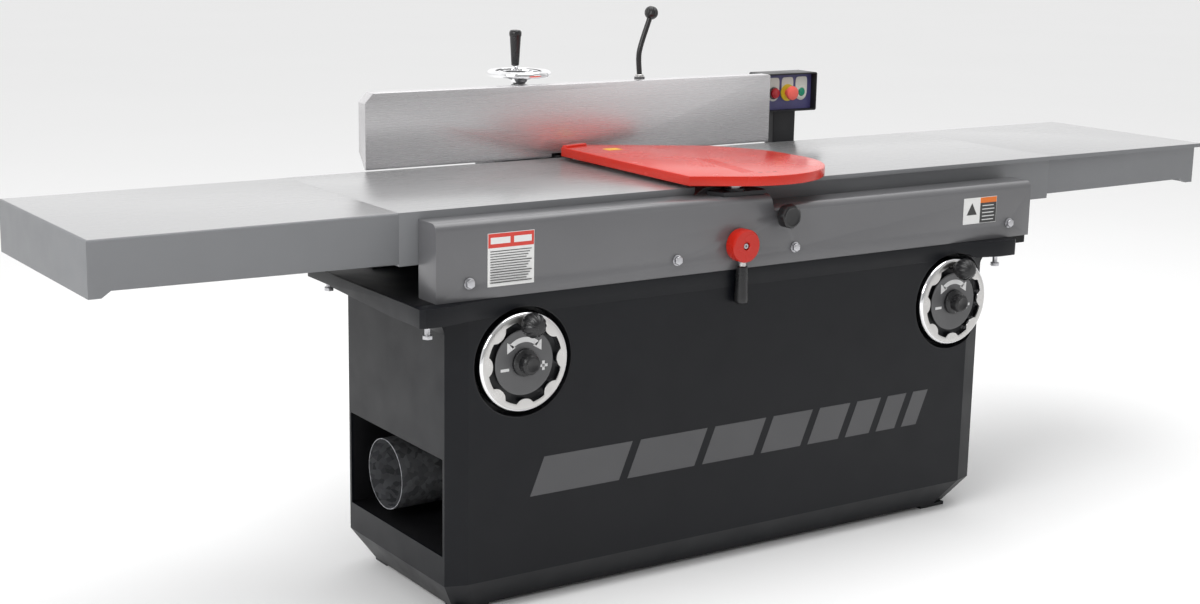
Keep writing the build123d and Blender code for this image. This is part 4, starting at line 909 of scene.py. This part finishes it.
# ---- switches ------------------------------------------------------------------------------
LEGEND_HALF_WIDTH, LEGEND_BELOW, LEGEND_ABOVE = 0.0195, 0.0215, 0.040
LEGEND_SQUARENESS, LEGEND_THICK = 0.3, 0.0012
STOP_COLLAR = [(0.0152, 0.0), (0.0155, 0.002), (0.0155, 0.0055), (0.0150, 0.0062),
               (0.0145, 0.0062), (0.0142, 0.0057), (0.0142, 0.0004)]
STOP_CAP = [(0.012, 0.0006), (0.0135, 0.0018), (0.0137, 0.0045), (0.0125, 0.0072),
            (0.009, 0.0088), (0.004, 0.0095)]
START_COLLAR = [(0.0172, 0.0), (0.0175, 0.001), (0.0172, 0.003), (0.0140, 0.0036),
                (0.0126, 0.003)]
START_CAP = [(0.0105, -0.004), (0.0112, 0.0), (0.0110, 0.003), (0.0095, 0.0042),
             (0.004, 0.0047)]
MUSHROOM_CAP = [(0.0095, -0.030), (0.0095, -0.017), (0.0115, -0.0158), (0.0165, -0.0145),
                (0.0182, -0.0110), (0.0186, -0.0075), (0.0172, -0.0035), (0.0135, -0.0012),
                (0.008, -0.0002), (0.003, 0.0)]


def legend(name, x, z, y):
    """Plate that is round below the switch and square above it."""
    clear()
    bpy.ops.mesh.primitive_circle_add(vertices=96, radius=1, fill_type="NGON")
    plate = started(name)
    for point in plate.data.vertices:
        c, s = point.co.x, point.co.y
        if s < 0:
            point.co.x, point.co.y = LEGEND_HALF_WIDTH * c, LEGEND_BELOW * s
        else:
            point.co.x = LEGEND_HALF_WIDTH * math.copysign(abs(c) ** LEGEND_SQUARENESS, c)
            point.co.y = LEGEND_ABOVE * abs(s) ** LEGEND_SQUARENESS
    mod = plate.modifiers.new("thick", "SOLIDIFY")
    mod.thickness = LEGEND_THICK
    bpy.ops.object.modifier_apply(modifier=mod.name)
    plate.rotation_euler = FACING["front"]
    plate.location = (x, y - LEGEND_THICK, z)
    settle(plate, "machine_base", "panel_face", PLATE_WHITE)


def switches():
    """Legend plates, then the stop, start and emergency switches."""
    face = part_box("control_panel")[0].y
    centres = {}
    for node in ("stop_button", "estop_button", "start_button"):
        at = middle(node)
        centres[node] = (at.x, at.z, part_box(node)[0].y)
        legend(node + "_plate", at.x, at.z, face)
    x, z, front = centres["stop_button"]
    collar = turned("stop_collar", STOP_COLLAR, (x, face, z))
    settle(collar, "machine_base", "black_plastic", BLACK)
    cap = turned("stop_cap", STOP_CAP, (x, front + 0.0085, z))
    settle(cap, "stop_switch", "stop_red", STOP_RED, "stop_button")
    x, z, front = centres["start_button"]
    collar = turned("start_collar", START_COLLAR, (x, face, z))
    settle(collar, "machine_base", "panel_face", PLATE_WHITE)
    cap = turned("start_cap", START_CAP, (x, front + 0.0045, z))
    settle(cap, "start_switch", "start_green", GREEN, "start_button")
    x, z, front = centres["estop_button"]
    cap = turned("mushroom_cap", MUSHROOM_CAP, (x, front, z))
    settle(cap, "emergency_switch", "mushroom_red", MUSHROOM, "estop_button")


# ---- stage ---------------------------------------------------------------------------------
LAMPS = (                               # name, place, aim, width, power
    ("key", (-4.2, -1.6, 3.0), (-0.3, 0, 0.6), 2.6, 85),
    ("top", (0.5, -0.2, 4.2), (0, 0, 0.6), 4.0, 90),
    ("fill", (3.8, -4.6, 2.0), (0, 0, 0.5), 3.0, 14),
)
CAMERA_AT = (-2.4983, -3.3806, 1.4634)
CAMERA_YAW, CAMERA_PITCH, CAMERA_ROLL = math.radians(33.94), math.radians(12.27), 0.018
CAMERA_LENS = 55.86


def sky():
    """Soft white room, dimmer on the operator's side."""
    world = bpy.data.worlds.new("studio_sky")
    bpy.context.scene.world = world
    world.use_nodes = True
    tree = world.node_tree
    where = tree.nodes.new("ShaderNodeTexCoord")
    axes = tree.nodes.new("ShaderNodeSeparateXYZ")
    tree.links.new(where.outputs["Generated"], axes.inputs["Vector"])
    background = tree.nodes["Background"]
    feed(tree, background, "Strength", spread(tree, axes.outputs["Y"], 0.42, 1.15, -0.6, 0.25))
    background.inputs["Color"].default_value = (1, 1, 1, 1)


def floor():
    clear()
    bpy.ops.mesh.primitive_plane_add(size=60, location=(0, 0, 0))
    piece = started("studio_floor")
    material, tree, shader = finish("studio_white", (0.93, 0.93, 0.93), 0.9)
    tone = blend_colour(tree, grain(tree, 0.6), (0.92, 0.92, 0.92), (0.94, 0.94, 0.94))
    feed(tree, shader, "Base Color", tone)
    piece.data.materials.append(material)


def lamps():
    for name, place, aim, size, power in LAMPS:
        lamp = bpy.data.lights.new(name, "AREA")
        lamp.shape = "RECTANGLE"
        lamp.size = size
        lamp.size_y = size * 0.7
        lamp.energy = power
        light = bpy.data.objects.new(name, lamp)
        light.location = place
        aimed = (Vector(aim) - Vector(place)).to_track_quat("-Z", "Y")
        light.rotation_euler = aimed.to_euler()
        bpy.context.scene.collection.objects.link(light)


def camera():
    view = bpy.data.objects.new("camera", bpy.data.cameras.new("camera"))
    view.data.lens = CAMERA_LENS
    view.data.sensor_width = 36
    view.data.clip_end = 200
    view.location = CAMERA_AT
    level = math.cos(CAMERA_PITCH)
    ahead = Vector((math.sin(CAMERA_YAW) * level, math.cos(CAMERA_YAW) * level,
                    -math.sin(CAMERA_PITCH)))
    turn = ahead.to_track_quat("-Z", "Y").to_matrix().to_4x4()
    view.rotation_euler = (turn @ Matrix.Rotation(CAMERA_ROLL, 4, "Z")).to_euler()
    bpy.context.scene.collection.objects.link(view)
    bpy.context.scene.camera = view


tables()
fence()
collar()
levelling_bolts()
sheet_metal()
cabinet_stripe()
for side in ("outfeed", "infeed"):
    handwheel(side)
beam_controls()
beam_bolts()
guard()
beam_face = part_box("front_beam")[0].y
notice_plate(beam_face)
caution_plate(beam_face)
tilt_crank()
fence_lever()
switches()
floor()
sky()
lamps()
camera()
bpy.context.scene.view_settings.view_transform = "Standard"
